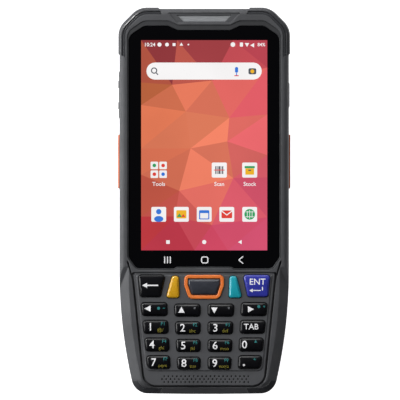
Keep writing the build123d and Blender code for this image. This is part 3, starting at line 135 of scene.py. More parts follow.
finishes = {
    # PC/ABS, spark-eroded tool: a dry grain that scatters light, rubbed smoother at the edges
    "housingAbs": {"base": "#434447", "faded": "#4c4d50", "worn": "#7d7e81", "rough": 0.5, "grain": 0.45,
                   "relief": 0.3, "wear": 0.55, "edge": 0.5},
    # the same resin with a finer texture, a shade lighter
    "deckAbs": {"base": "#4a4b4e", "faded": "#535457", "worn": "#7c7d81", "rough": 0.5, "grain": 0.35,
                "relief": 0.25, "wear": 0.35},
    # TPU overmould: soft and slightly waxy, with a clear shine along its rounds
    "bumperTpu": {"base": "#343538", "faded": "#3d3e41", "worn": "#646568", "rough": 0.28, "grain": 0.6,
                  "relief": 0.12, "wear": 0.5, "cloud": 9},
    # harder TPU of trims and covers: darker and drier
    "trimTpu": {"base": "#2b2c2e", "faded": "#333437", "worn": "#505154", "rough": 0.5, "grain": 0.4,
                "relief": 0.2},
    # silicone rubber: matt and dark
    "silicone": {"base": "#232325", "faded": "#2b2b2d", "worn": "#3c3c3e", "rough": 0.7, "grain": 0.5},
    # polished PC keys under a hard coat: black with narrow highlights
    "keyBlack": {"base": "#0a0a0d", "faded": "#101014", "worn": "#2a2a30", "rough": 0.24, "grain": 0.9,
                 "relief": 0.03, "wear": 0.25, "specular": 0.3, "coat": 0.45, "coatRough": 0.07, "cloud": 5,
                 "edge": 0.1},
    # smoke-tinted PC: a grey depth under the gloss
    "keySmoke": {"base": "#34363d", "faded": "#3c3e46", "worn": "#62646c", "rough": 0.16, "grain": 0.9,
                 "relief": 0.03, "wear": 0.25, "coat": 1.0, "coatRough": 0.05, "cloud": 5, "edge": 0.1},
    # dyed PC keys: full colour under a full clear coat
    "keyYellow": {"base": "#e0a81c", "faded": "#e8b02a", "worn": "#f0cc70", "rough": 0.25, "grain": 0.9,
                  "relief": 0.03, "coat": 1.0, "cloud": 5, "edge": 0.1},
    "keyTeal": {"base": "#1aa3b4", "faded": "#24abbb", "worn": "#70c8d2", "rough": 0.25, "grain": 0.9,
                "relief": 0.03, "coat": 1.0, "cloud": 5, "edge": 0.1},
    "keyBlue": {"base": "#3036a2", "faded": "#383eac", "worn": "#6a71cc", "rough": 0.25, "grain": 0.9,
                "relief": 0.03, "coat": 1.0, "cloud": 5, "edge": 0.1},
    # orange ABS, moulded smooth for the ring and textured for the triggers
    "ringOrange": {"base": "#f07a34", "faded": "#f4843f", "worn": "#f9b88a", "rough": 0.32, "grain": 0.6,
                   "relief": 0.05, "coat": 0.5, "cloud": 6, "edge": 0.1},
    "triggerOrange": {"base": "#dd641d", "faded": "#e46f2a", "worn": "#f0a06c", "rough": 0.45, "grain": 0.4,
                      "relief": 0.25, "wear": 0.5, "cloud": 6},
    # textured ABS, darker than the housing and rubbed paler by thumbs at its edges
    "sideKeyAbs": {"base": "#303134", "faded": "#3a3b3e", "worn": "#6c6d70", "rough": 0.48, "grain": 0.4,
                   "relief": 0.25, "wear": 0.5, "cloud": 6},
    # glass-filled LCP of sockets and modules: black, even and dull
    "moduleLcp": {"base": "#161618", "faded": "#1e1e20", "worn": "#39393b", "rough": 0.55, "grain": 0.5},
    # the battery's ABS case: black with a light tool texture
    "batteryCase": {"base": "#1d1d20", "faded": "#252528", "worn": "#444447", "rough": 0.5, "grain": 0.5,
                    "relief": 0.3},
    # FR4 under green solder mask: glossy over a woven core
    "solderMask": {"base": "#0e3b22", "faded": "#13472a", "worn": "#2a6a45", "rough": 0.3, "grain": 0.7,
                   "relief": 0.15},
    # die-cast magnesium: grey, slightly grainy
    "castMagnesium": {"base": "#8d9094", "faded": "#9b9ea2", "worn": "#c3c6ca", "rough": 0.45, "grain": 0.5,
                      "metallic": 1.0, "relief": 0.3},
    # tin-plated steel sheet, rolled: streaks along its length
    "tinnedSteel": {"base": "#a9abae", "faded": "#b8babd", "worn": "#d6d8da", "rough": 0.3, "grain": 0.5,
                    "metallic": 1.0, "relief": 0.1, "stretch": (1, 0.15, 1)},
    # blackened steel screws: bright metal where a driver has rubbed the edges
    "blackenedSteel": {"base": "#2c2d30", "faded": "#37383b", "worn": "#8b8d91", "rough": 0.35, "grain": 0.4,
                       "metallic": 1.0, "relief": 0.15, "wear": 0.8, "edge": 0.12},
    # turned brass: warm, with a fine sparkle from the tool marks
    "turnedBrass": {"base": "#b08d46", "faded": "#bd9a52", "worn": "#e0c485", "rough": 0.28, "grain": 0.4,
                    "metallic": 1.0, "relief": 0.1},
    # gold over nickel: a smooth, warm shine
    "platedGold": {"base": "#d0a24c", "faded": "#dcb060", "worn": "#f0d498", "rough": 0.2, "grain": 0.4,
                   "metallic": 1.0, "relief": 0.05},
    # woven stainless cloth under a grey coat: a rough, even glitter
    "meshSteel": {"base": "#96989b", "faded": "#a3a5a8", "worn": "#d0d2d5", "rough": 0.45, "grain": 0.35,
                  "metallic": 0.5, "relief": 0.8},
    # matt metallised film: a soft sheen under the print
    "silverFoil": {"base": "#b9bbbd", "faded": "#c3c5c7", "worn": "#d8dadc", "rough": 0.35, "grain": 0.5,
                   "relief": 0.05, "metallic": 0.4},
    # yellow polyester film: flat colour with a slight gloss
    "cautionFilm": {"base": "#e9c21f", "faded": "#edc936", "worn": "#f3dc83", "rough": 0.3, "grain": 0.5,
                    "relief": 0.03},
    # multi-coated glass: a deep blue mirror
    "coatedLens": {"base": "#101426", "faded": "#141a30", "worn": "#20263c", "rough": 0.06, "grain": 0.9,
                   "relief": 0.0, "coat": 1.0, "coatRough": 0.02},
    # phosphor of a white LED: matt yellow, slightly crystalline
    "phosphor": {"base": "#e2cf6a", "faded": "#e8d67c", "worn": "#f2e6a8", "rough": 0.4, "grain": 0.4,
                 "relief": 0.2},
}
materials = {name: solidFinish(name, look) for name, look in finishes.items()}

# Strengthened glass, polished, printed black on its underside except over the lit area.
glassLook = {"print": "#050507", "printSpecular": 0.35, "ior": 1.5, "coatedIor": 1.33, "rough": 0.03,
             "smear": 9, "smearDetail": 6.0, "smearContrast": (0.4, 0.7), "smearRough": 0.05}


def coverGlass(name, look, clearAll=False, tint="#ffffff"):
    material, tree = emptyMaterial(name)
    place = addNode(tree, "ShaderNodeTexCoord").outputs["Object"]
    axes = addNode(tree, "ShaderNodeSeparateXYZ", {"Vector": place})
    across = addNode(tree, "ShaderNodeMath", {0: axes.outputs["X"]}, operation="ABSOLUTE")
    shifted = addNode(tree, "ShaderNodeMath", {0: axes.outputs["Y"], 1: litArea["middle"] * mm},
                      operation="SUBTRACT")
    along = addNode(tree, "ShaderNodeMath", {0: shifted.outputs["Value"]}, operation="ABSOLUTE")
    inX = addNode(tree, "ShaderNodeMath", {0: across.outputs["Value"], 1: litArea["half"][0] * mm},
                  operation="LESS_THAN")
    inY = addNode(tree, "ShaderNodeMath", {0: along.outputs["Value"], 1: litArea["half"][1] * mm},
                  operation="LESS_THAN")
    clear = addNode(tree, "ShaderNodeMath", {0: inX.outputs["Value"], 1: inY.outputs["Value"]},
                    operation="MULTIPLY")
    smear = addNode(tree, "ShaderNodeTexNoise", {
        "Vector": place, "Scale": 1 / (look["smear"] * mm), "Detail": look["smearDetail"]})
    rough = addNode(tree, "ShaderNodeMapRange", {
        "Value": smear.outputs["Fac"],
        "From Min": look["smearContrast"][0], "From Max": look["smearContrast"][1],
        "To Min": look["rough"], "To Max": look["rough"] + look["smearRough"]})
    border = addNode(tree, "ShaderNodeBsdfPrincipled", {
        "Base Color": colour(look["print"]), "Roughness": rough.outputs["Result"], "IOR": look["ior"],
        "Specular IOR Level": look["printSpecular"]})
    through = addNode(tree, "ShaderNodeBsdfTransparent", {"Color": colour(tint)})
    shine = addNode(tree, "ShaderNodeBsdfGlossy", {"Roughness": rough.outputs["Result"]})
    fresnel = addNode(tree, "ShaderNodeFresnel", {"IOR": look["coatedIor"]})
    surface = addNode(tree, "ShaderNodeMixShader", {
        0: fresnel.outputs["Fac"], 1: through.outputs["BSDF"], 2: shine.outputs["BSDF"]})
    if not clearAll:
        surface = addNode(tree, "ShaderNodeMixShader", {
            0: clear.outputs["Value"], 1: border.outputs["BSDF"], 2: surface.outputs["Shader"]})
    addNode(tree, "ShaderNodeOutputMaterial", {"Surface": surface.outputs["Shader"]})
    return material


materials["coverGlass"] = coverGlass("coverGlass", glassLook)
materials["scanGlass"] = coverGlass("scanGlass", glassLook, clearAll=True, tint="#8c2a33")  # red-dyed PMMA
materials["lensGlass"] = coverGlass("lensGlass", glassLook, clearAll=True, tint="#9aa4b4")  # grey glass

# Pad-printed or screen-printed ink: matt, with slightly uneven cover.
inkLook = {"speck": 0.35, "detail": 3.0, "contrast": (0.35, 0.65), "cover": (0.88, 1.0), "rough": 0.45}


# glow makes an ink give off painted light in its own colour, though the ink is no lamp
def inkFinish(name, code, glow=0.0):
    material, tree = emptyMaterial(name)
    place = addNode(tree, "ShaderNodeTexCoord").outputs["Object"]
    speck = addNode(tree, "ShaderNodeTexNoise", {
        "Vector": place, "Scale": 1 / (inkLook["speck"] * mm), "Detail": inkLook["detail"]})
    cover = addNode(tree, "ShaderNodeMapRange", {
        "Value": speck.outputs["Fac"], "From Min": inkLook["contrast"][0], "From Max": inkLook["contrast"][1],
        "To Min": inkLook["cover"][0], "To Max": inkLook["cover"][1]})
    tone = addNode(tree, "ShaderNodeVectorMath", {0: colour(code)[:3], "Scale": cover.outputs["Result"]},
                   operation="SCALE")
    shader = addNode(tree, "ShaderNodeBsdfPrincipled", {
        "Base Color": tone.outputs["Vector"], "Roughness": inkLook["rough"], "Emission Strength": glow})
    # the painted glow takes the ink's own colour
    if glow:
        tree.links.new(tone.outputs["Vector"], shader.inputs["Emission Color"])
    addNode(tree, "ShaderNodeOutputMaterial", {"Surface": shader.outputs["BSDF"]})
    return material


inkColours = {"tealInk": "#2a8585", "oliveInk": "#8f8632", "greyInk": "#6a6c70", "blackInk": "#17181a"}
# the white ink also glows a little: its print is real, its extra brightness is painted light
materials["whiteInk"] = inkFinish("whiteInk", "#e8e8ea", glow=0.25)
for name, code in inkColours.items():
    materials[name] = inkFinish(name, code)

# Lit pixels under the glass: a backlight that is a little uneven, and faint rows four real pixels high.
pixelLook = {"pitch": 0.432, "rows": 0.02, "uneven": 30, "detail": 2.0, "contrast": (0.35, 0.65),
             "level": (0.95, 1.04)}


# Without a colour code, the pixels show the mesh's own facet colours.
def litPixels(name, code=None):
    material, tree = emptyMaterial(name)
    place = addNode(tree, "ShaderNodeTexCoord").outputs["Object"]
    # a wave texture repeats every pi / 10 of its scaled length
    rows = addNode(tree, "ShaderNodeTexWave", {
        "Vector": place, "Scale": math.pi / 10 / (pixelLook["pitch"] * mm)}, bands_direction="Y")
    uneven = addNode(tree, "ShaderNodeTexNoise", {
        "Vector": place, "Scale": 1 / (pixelLook["uneven"] * mm), "Detail": pixelLook["detail"]})
    both = addNode(tree, "ShaderNodeMath", {
        0: rows.outputs["Fac"], 1: pixelLook["rows"], 2: uneven.outputs["Fac"]}, operation="MULTIPLY_ADD")
    level = addNode(tree, "ShaderNodeMapRange", {
        "Value": both.outputs["Value"],
        "From Min": pixelLook["contrast"][0], "From Max": pixelLook["contrast"][1],
        "To Min": pixelLook["level"][0], "To Max": pixelLook["level"][1]})
    lamp = addNode(tree, "ShaderNodeEmission", {"Strength": level.outputs["Result"]})
    if code:
        lamp.inputs["Color"].default_value = colour(code)
    else:
        facet = addNode(tree, "ShaderNodeAttribute", attribute_name="facet")
        tree.links.new(facet.outputs["Color"], lamp.inputs["Color"])
    addNode(tree, "ShaderNodeOutputMaterial", {"Surface": lamp.outputs["Emission"]})
    return material


# The finish of each node that isn't a black key.
nodeFinish = {
    "front_housing": "housingAbs", "rear_housing": "housingAbs", "battery_door": "housingAbs",
    "keypad_deck": "deckAbs", "bumper_top_left": "bumperTpu", "bumper_top_right": "bumperTpu",
    "bumper_bottom_left": "bumperTpu", "bumper_bottom_right": "bumperTpu", "usb_cover": "trimTpu",
    "glass_trim": "trimTpu", "housing_gasket": "silicone", "keypad_mat": "silicone",
    "touch_glass": "coverGlass", "scan_window": "scanGlass", "camera_lenses": "lensGlass",
    "display_panel": "moduleLcp", "earpiece_mesh": "meshSteel", "scan_key_ring": "ringOrange",
    "keypad_board": "solderMask", "main_board": "solderMask", "side_switches": "solderMask",
    "mid_chassis": "castMagnesium", "board_shields": "tinnedSteel", "usb_socket": "tinnedSteel",
    "scan_engine": "moduleLcp", "receiver": "moduleLcp", "loudspeaker": "moduleLcp",
    "camera_module": "moduleLcp", "vibration_motor": "tinnedSteel", "battery_contacts": "moduleLcp",
    "charging_contacts": "platedGold", "housing_screws": "blackenedSteel", "door_screw": "blackenedSteel",
    "grip_inserts": "turnedBrass", "scan_button_left": "triggerOrange", "scan_button_right": "triggerOrange",
    "volume_rocker": "sideKeyAbs", "power_key": "sideKeyAbs", "battery_pack": "batteryCase",
    "key_scan": "keySmoke", "key_yellow": "keyYellow", "key_teal": "keyTeal", "key_enter": "keyBlue",
}
for name, node in nodes.items():
    node.data.materials.clear()
    node.data.materials.append(materials[nodeFinish.get(name, "keyBlack")])
print("materials:", len(materials))


def newPiece(name, bm, pieceMaterials, body):
    mesh = bpy.data.meshes.new(name)
    bm.to_mesh(mesh)
    bm.free()
    for material in pieceMaterials:
        mesh.materials.append(material)
    piece = bpy.data.objects.new(name, mesh)
    bpy.context.scene.collection.objects.link(piece)
    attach(piece, body)
    return piece


# Flat shapes in millimetres: each takes its middle x, y, z first.
def placed(x, y, z, turn, scaleX, scaleY):
    return (Matrix.Translation(Vector((x, y, z)) * mm) @ Matrix.Rotation(math.radians(turn), 4, "Z")
            @ Matrix.Diagonal((scaleX, scaleY, 1, 1)))


def paint(verts, ink):
    for face in {face for vert in verts for face in vert.link_faces}:
        face.material_index = ink


def putDisc(bm, x, y, z, radius, ink=0, sides=24, turn=0.0, squeeze=1.0):
    made = bmesh.ops.create_circle(bm, cap_ends=True, segments=sides, radius=radius * mm,
                                   matrix=placed(x, y, z, turn, 1, squeeze))
    paint(made["verts"], ink)


def putBar(bm, x, y, z, width, height, ink=0, corner=0.0, turn=0.0):
    made = bmesh.ops.create_grid(bm, x_segments=1, y_segments=1, size=0.5,
                                 matrix=placed(x, y, z, turn, width * mm, height * mm))
    paint(made["verts"], ink)
    if corner:
        bmesh.ops.bevel(bm, geom=made["verts"], offset=corner * mm, affect="VERTICES", segments=5,
                        profile=0.5, material=-1)


def putFrame(bm, x, y, z, width, height, line, ink=0, corner=0.6):
    before = set(bm.faces)
    putBar(bm, x, y, z, width, height, ink, corner)
    made = [face for face in bm.faces if face not in before]
    bmesh.ops.inset_region(bm, faces=made, thickness=line * mm, use_even_offset=True, use_boundary=True)
    bmesh.ops.delete(bm, geom=made, context="FACES")


def putText(bm, x, y, z, text, size, ink=0, weight=0.0):
    curve = bpy.data.curves.new("line", "FONT")
    curve.body = text
    curve.size = 1.0
    curve.offset = weight
    curve.resolution_u = 3
    curve.align_x = "CENTER"
    curve.align_y = "CENTER"
    holder = bpy.data.objects.new("line", curve)
    bpy.context.scene.collection.objects.link(holder)
    shape = bpy.data.meshes.new_from_object(holder.evaluated_get(bpy.context.evaluated_depsgraph_get()))
    bpy.data.objects.remove(holder)
    shape.transform(Matrix.Translation(Vector((x, y, z)) * mm) @ Matrix.Scale(size * mm, 4))
    before = set(bm.faces)
    bm.from_mesh(shape)
    for face in bm.faces:
        if face not in before:
            face.material_index = ink


def putLines(bm, x, y, z, widths, pitch, thick, ink):
    for row, width in enumerate(widths):
        putBar(bm, x + width / 2, y - row * pitch, z, width, thick, ink)


# A row of bars and a square of cells that look like codes and encode nothing.
codeLook = {"thick": (0.25, 0.4, 0.7), "gap": (0.25, 0.45), "filled": 0.5, "cell": 0.98}


def putBarCode(bm, x, y, z, width, height, ink, seed):
    rng = random.Random(seed)
    across = 0.0
    while across < width:
        thick = rng.choice(codeLook["thick"])
        putBar(bm, x - width / 2 + across + thick / 2, y, z, thick, height, ink)
        across += thick + rng.choice(codeLook["gap"])


def putSquareCode(bm, x, y, z, size, cells, ink, seed):
    rng = random.Random(seed)
    step = size / cells
    side = step * codeLook["cell"]
    for row in range(cells):
        for column in range(cells):
            if column == 0 or row == 0 or rng.random() < codeLook["filled"]:
                putBar(bm, x + (column - cells / 2 + 0.5) * step, y + (row - cells / 2 + 0.5) * step, z,
                       side, side, ink)


shapes = {"disc": putDisc, "bar": putBar, "frame": putFrame, "text": putText, "lines": putLines,
          "barCode": putBarCode, "squareCode": putSquareCode}


# Each mark: shape, x, y, layer and what else the shape takes. Layers lie a step apart.
def draw(bm, marks, step, origin=(0, 0, 0)):
    for shape, x, y, layer, *rest in marks:
        shapes[shape](bm, origin[0] + x, origin[1] + y, origin[2] + layer * step, *rest)


# picture on the display
pictureLook = {
    "z": 19.84, "step": 0.02, "columns": 3, "rows": 6, "jitter": 0.34, "seed": 23,
    "corners": {"topLeft": "#b26a2c", "topRight": "#ea5868", "footLeft": "#b52a38", "footRight": "#cc5272"},
    "heart": "#f08a64", "heartAt": (0.42, 0.52), "heartSize": (0.6, 0.45),
    "brow": "#8f3340", "browFrom": 0.76, "browDepth": 0.18, "browFade": 0.35, "shadeSpread": 0.16,
}
pictureMaterials = [litPixels("wallpaperPixels"), litPixels("whitePixels", "#f6f4f4"),
                    litPixels("bluePixels", "#3b78d8"), litPixels("redPixels", "#e0453c"),
                    litPixels("yellowPixels", "#f0b62e"), litPixels("greenPixels", "#3aa062"),
                    litPixels("greyPixels", "#55585f")]
# a mark drawn with the wallpaper's pixels has no facet colour and stays dark
dark, white, blue, red, yellow, green, grey = range(7)


def mixed(a, b, share):
    return [p + (q - p) * share for p, q in zip(a, b)]


def wallpaperShade(u, v, look):
    corners = {name: colour(code) for name, code in look["corners"].items()}
    shade = mixed(mixed(corners["footLeft"], corners["footRight"], u),
                  mixed(corners["topLeft"], corners["topRight"], u), v)
    away = [(at - middle) / size for at, middle, size in zip((u, v), look["heartAt"], look["heartSize"])]
    shade = mixed(shade, colour(look["heart"]), max(0.0, 1 - math.hypot(*away)))
    brow = min(1.0, max(0.0, (v - look["browFrom"]) / look["browDepth"]))
    return mixed(shade, colour(look["brow"]), brow * (1 - look["browFade"] * u))


# Facets of one colour each, from a grid whose inner points are shaken.
def wallpaper(bm, look):
    rng = random.Random(look["seed"])
    middle = Vector((0, litArea["middle"], look["z"])) * mm
    half = Vector(litArea["half"]) * mm
    cells = (look["columns"], look["rows"])
    made = bmesh.ops.create_grid(bm, x_segments=cells[0], y_segments=cells[1], size=1.0,
                                 matrix=Matrix.Translation(middle) @ Matrix.Diagonal((half.x, half.y, 1, 1)))
    for vert in made["verts"]:
        shake = (rng.uniform(-1, 1), rng.uniform(-1, 1))
        for axis in (0, 1):
            if abs(vert.co[axis] - middle[axis]) < half[axis] - near:
                vert.co[axis] += shake[axis] * look["jitter"] * 2 * half[axis] / cells[axis]
    bmesh.ops.triangulate(bm, faces=bm.faces[:], quad_method="SHORT_EDGE")
    layer = bm.loops.layers.float_color.new("facet")
    for face in bm.faces:
        u, v = (0.5 + 0.5 * (face.calc_center_median()[axis] - middle[axis]) / half[axis] for axis in (0, 1))
        level = 1 + rng.uniform(-1, 1) * look["shadeSpread"]
        shade = [min(1.0, c * level) for c in wallpaperShade(u, v, look)[:3]] + [1.0]
        for loop in face.loops:
            loop[layer] = shade


statusLine = [  # clock, notices, radio and charge
    ("text", -22.4, 64.1, 1, "10:24", 2.1, white, 0.015), ("disc", -18.4, 64.2, 1, 0.85, white, 20),
    ("disc", -15.3, 64.2, 1, 0.85, white, 6), ("disc", -12.4, 64.2, 1, 0.85, white, 4, 45),
    ("disc", -9.4, 64.2, 1, 0.85, white, 3), ("disc", -6.5, 64.2, 1, 0.35, white, 20),
    ("disc", 11.8, 64.2, 1, 0.95, white), ("disc", 11.8, 64.2, 2, 0.35, dark, 3),
    ("bar", 15.3, 64.2, 1, 1.3, 1.7, white, 0.3), ("disc", 17.6, 64.3, 1, 1.05, white, 3, 180),
    ("disc", 20.0, 63.9, 1, 1.05, white, 3, -30), ("text", 23.5, 64.1, 1, "84%", 1.9, white, 0.015),
]
searchField = [  # with a glass, a microphone and a lens
    ("bar", -0.05, 53.3, 1, 47.4, 7.0, white, 3.45), ("disc", -20.6, 53.5, 2, 1.3, grey),
    ("disc", -20.6, 53.5, 3, 0.85, white), ("bar", -19.5, 52.3, 2, 1.5, 0.45, grey, 0.15, -45),
    ("bar", 13.3, 53.8, 2, 1.3, 2.4, blue, 0.6), ("bar", 13.3, 51.9, 2, 0.4, 1.2, blue),
    ("bar", 13.3, 51.4, 2, 1.8, 0.4, red), ("bar", 19.8, 53.2, 2, 3.2, 2.5, grey, 0.6),
    ("disc", 19.8, 53.2, 3, 0.8, yellow),
]
softKeys = [("bar", -14.9, -17.0, 1, 1.5, 1.5, white, 0.15), ("disc", 0.0, -17.0, 1, 0.85, white),
            ("disc", 14.9, -17.0, 1, 1.0, white, 3, 90)]
smallTile = ("bar", 0, 0, 1, 6.1, 6.1, white, 0.6)
largeTile = ("bar", 0, 0, 1, 6.2, 6.2, white, 0.6)
tools = [("text", 0, -5.9, 1, "Tools", 2.3, white, 0.01)]  # a folder of four small tiles
for x, y, ink in ((-1.8, 1.8, green), (1.8, 1.8, red), (-1.8, -1.8, red), (1.8, -1.8, blue)):
    tools += [("bar", x, y, 1, 3.1, 3.1, white, 0.4), ("disc", x, y, 2, 0.75, ink)]
scan = [largeTile, ("bar", 0, 0, 3, 4.4, 0.35, red), ("text", 0, -5.8, 1, "Scan", 2.3, white, 0.01)]
for step, thick in enumerate((0.5, 0.25, 0.7, 0.3, 0.5)):
    scan.append(("bar", 0.7 * (step - 2), 0, 2, thick, 3.2, grey))
carton = [largeTile, ("bar", 0, -0.6, 2, 3.6, 2.6, yellow, 0.2), ("bar", 0, 1.2, 2, 4.2, 0.9, green, 0.2),
          ("bar", 0, -0.1, 3, 1.2, 0.5, grey, 0.1), ("text", 0, -5.8, 1, "Stock", 2.3, white, 0.01)]
contact = [smallTile, ("disc", 0, 1.1, 2, 1.1, blue), ("disc", 0, -1.9, 2, 1.9, blue, 24, 0, 0.65)]
hills = [smallTile, ("bar", 0, 0, 2, 4.2, 3.4, yellow, 0.4), ("disc", -0.8, -0.6, 3, 1.3, green, 3, 0, 0.8),
         ("disc", 0.8, -0.7, 3, 1.0, red, 3, 0, 0.8)]
calendar = [smallTile, ("bar", 0, -0.2, 2, 4.2, 3.8, blue, 0.4), ("bar", 0, -0.6, 3, 3.3, 2.2, white, 0.2)]
letter = [smallTile, ("bar", 0, 0, 2, 4.4, 3.2, red, 0.4), ("bar", -1.0, 0.5, 3, 2.9, 0.4, white, 0, -38),
          ("bar", 1.0, 0.5, 3, 2.9, 0.4, white, 0, 38)]
globe = [smallTile, ("disc", 0, 0, 2, 2.2, green), ("bar", -1.0, 0, 3, 0.22, 2.7, white),
         ("bar", 0, 0, 3, 0.22, 3.6, white), ("bar", 1.0, 0, 3, 0.22, 2.7, white),
         ("bar", 0, 1.0, 3, 3.4, 0.22, white), ("bar", 0, -1.0, 3, 3.4, 0.22, white)]
pictureMarks = [
    (0, 0, statusLine), (0, 0, searchField), (-18.7, 12.7, tools), (6.2, 12.6, scan), (18.7, 12.6, carton),
    (-18.7, -5.6, contact), (-9.4, -5.6, hills), (0.0, -5.6, calendar), (9.3, -5.6, letter),
    (18.7, -5.6, globe), (0, 0, softKeys),
]
picture = bmesh.new()
wallpaper(picture, pictureLook)
for x, y, marks in pictureMarks:
    draw(picture, marks, pictureLook["step"], (x, y, pictureLook["z"]))
screenPicture = newPiece("screen_picture", picture, pictureMaterials, "root")
print("screen picture:", len(screenPicture.data.polygons), "faces")

# marks printed on the glass, below the picture: three bars, a soft square and an angle
touchLook = {"at": (0, -24.35, 20.94), "line": 0.42, "outer": 15.1, "barPitch": 1.15, "angleTurn": 38}
line, outer = touchLook["line"], touchLook["outer"]
marks = [("bar", step * touchLook["barPitch"] - outer, 0, 0, line, 2.8, 0, 0.1) for step in (-1, 0, 1)]
marks.append(("frame", 0.2, 0, 0, 3.0, 2.9, line, 0, 0.9))
for side in (1, -1):
    marks.append(("bar", outer, side * 0.75, 0, 2.3, line, 0, 0.1, side * touchLook["angleTurn"]))
touchMarks = bmesh.new()
draw(touchMarks, marks, 0, touchLook["at"])
newPiece("touch_marks", touchMarks, [materials["whiteInk"]], "root")

# key tops: a low pillow that falls by the crown towards the sides
capLook = {"crown": 0.45, "sink": 0.05, "powers": (4, 2), "cell": 0.5, "rim": 0.75, "flange": 0.6,
           "legendLift": 0.02, "legendWeight": 0.008, "barCorner": 0.1, "arrowHeight": 1.1, "rayStart": 10}


# Cuts what lies above a height into cells, so that it can bend.
def cutIntoCells(bm, floorZ, low, high, cell):
    for axis in (0, 1):
        normal = Vector((axis == 0, axis == 1, 0))
        for step in range(1, int((high[axis] - low[axis]) / cell)):
            cut = low.copy()
            cut[axis] += step * cell
            flat = [face for face in bm.faces if min(vert.co.z for vert in face.verts) > floorZ]
            area = flat + list({edge for face in flat for edge in face.edges})
            area += list({vert for face in flat for vert in face.verts})
            bmesh.ops.bisect_plane(bm, geom=area, dist=2 * near, plane_co=cut, plane_no=normal)


# The key's own solid, its flat top cut into small cells and drawn into a pillow.
def crownedCap(name, look):
    bm = bmesh.new()
    bm.from_mesh(nodes[name].data)
    bmesh.ops.remove_doubles(bm, verts=bm.verts[:], dist=near)
    top = max(vert.co.z for vert in bm.verts)
    lid = [face for face in bm.faces if min(vert.co.z for vert in face.verts) > top - near]
    bmesh.ops.dissolve_faces(bm, faces=lid)
    low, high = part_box(name)
    middle = (low + high) / 2
    half = (high - low) / 2 - Vector((look["flange"], look["flange"], 0)) * mm
    cutIntoCells(bm, top - near, middle - half, middle + half, look["cell"] * mm)
    for vert in bm.verts:
        if vert.co.z > top - look["rim"] * mm:
            across, along = (min(1.0, abs(vert.co[axis] - middle[axis]) / half[axis]) for axis in (0, 1))
            fall = 1 - (1 - across ** look["powers"][0]) * (1 - along ** look["powers"][1])
            vert.co.z -= (look["sink"] + look["crown"] * fall) * mm
    for face in bm.faces:
        face.smooth = face.calc_center_median().z > top - (look["rim"] + look["crown"]) * mm
    surface = BVHTree.FromBMesh(bm)
    cap = newPiece("cap_" + name, bm, [materials[nodeFinish.get(name, "keyBlack")]], bodyOf[name])
    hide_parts(name)
    return surface


inks = [materials["whiteInk"], materials["tealInk"], materials["oliveInk"], materials["greyInk"]]
plain, teal, olive, dim = range(4)

# Each entry: what, across and up as shares of the key's face, size in mm, ink, turn.
legends = {
    "key_back": [("bar", 0.54, 0.53, (4.6, 0.55), plain, 0), ("tri", 0.27, 0.53, 1.25, plain, 90)],
    "key_enter": [("ENT", 0.52, 0.68, 3.6, plain, 0), ("bar", 0.5, 0.3, (3.2, 0.4), plain, 0),
                  ("bar", 0.71, 0.38, (0.4, 1.5), plain, 0), ("tri", 0.3, 0.3, 0.9, plain, 90)],
    "key_left": [("tri", 0.28, 0.55, 1.5, plain, 90), ("disc", 0.66, 0.58, 0.6, teal, 0),
                 ("bar", 0.86, 0.58, (0.9, 0.3), teal, 0)],
    "key_up": [("tri", 0.27, 0.46, 1.5, plain, 0), ("disc", 0.78, 0.68, 0.45, dim, 0)],
    "key_down": [("tri", 0.24, 0.56, 1.5, plain, 180), ("disc", 0.8, 0.68, 0.45, dim, 0)],
    "key_right": [("tri", 0.34, 0.5, 1.5, plain, -90), ("disc", 0.68, 0.7, 0.6, teal, 0),
                  ("bar", 0.88, 0.7, (0.9, 0.3), teal, 0), ("bar", 0.88, 0.7, (0.3, 0.9), teal, 0)],
    "key_tab": [("TAB", 0.44, 0.5, 3.3, plain, 0)],
    "key_0": [("0", 0.22, 0.48, 4.5, plain, 0), ("tri", 0.68, 0.72, 0.7, teal, 0)],
    "key_dot": [("disc", 0.24, 0.3, 0.42, plain, 0), ("+", 0.7, 0.72, 2.2, teal, 0)],
}
for number, letters in enumerate(("@/", "abc", "def", "ghi", "jkl", "mno", "pqrs", "tuv", "wxyz"), start=1):
    legends[f"key_{number}"] = [
        (str(number), 0.29, 0.48, 4.5, plain, 0), (f"F{number}", 0.79, 0.74, 1.9, teal, 0),
        (letters, 0.68, 0.26, 2.0, olive, 0)]


# Draws the legend flat and lays it on the crowned top.
def printLegend(name, entries, surface, look):
    low, high = (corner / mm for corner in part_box(name))
    inset = look["flange"]
    bm = bmesh.new()
    for what, across, up, size, ink, turn in entries:
        x = low.x + inset + across * (high.x - low.x - 2 * inset)
        y = low.y + inset + up * (high.y - low.y - 2 * inset)
        if what == "bar":
            putBar(bm, x, y, 0, *size, ink, look["barCorner"], turn)
        elif what == "disc":
            putDisc(bm, x, y, 0, size, ink)
        elif what == "tri":
            putDisc(bm, x, y, 0, size, ink, 3, turn, look["arrowHeight"])
        else:
            putText(bm, x, y, 0, what, size, ink, look["legendWeight"])
    cutIntoCells(bm, -1, low * mm, high * mm, look["cell"] * mm)
    for vert in bm.verts:
        above = Vector((vert.co.x, vert.co.y, (high.z + look["rayStart"]) * mm))
        hit = surface.ray_cast(above, Vector((0, 0, -1)))[0]
        vert.co.z = (hit.z if hit else high.z * mm) + look["legendLift"] * mm
    newPiece("legend_" + name, bm, inks, bodyOf[name])


for name in sorted(name for name in nodes if name.startswith("key_")):
    surface = crownedCap(name, capLook)
    if name in legends:
        printLegend(name, legends[name], surface, capLook)
print("keys done")

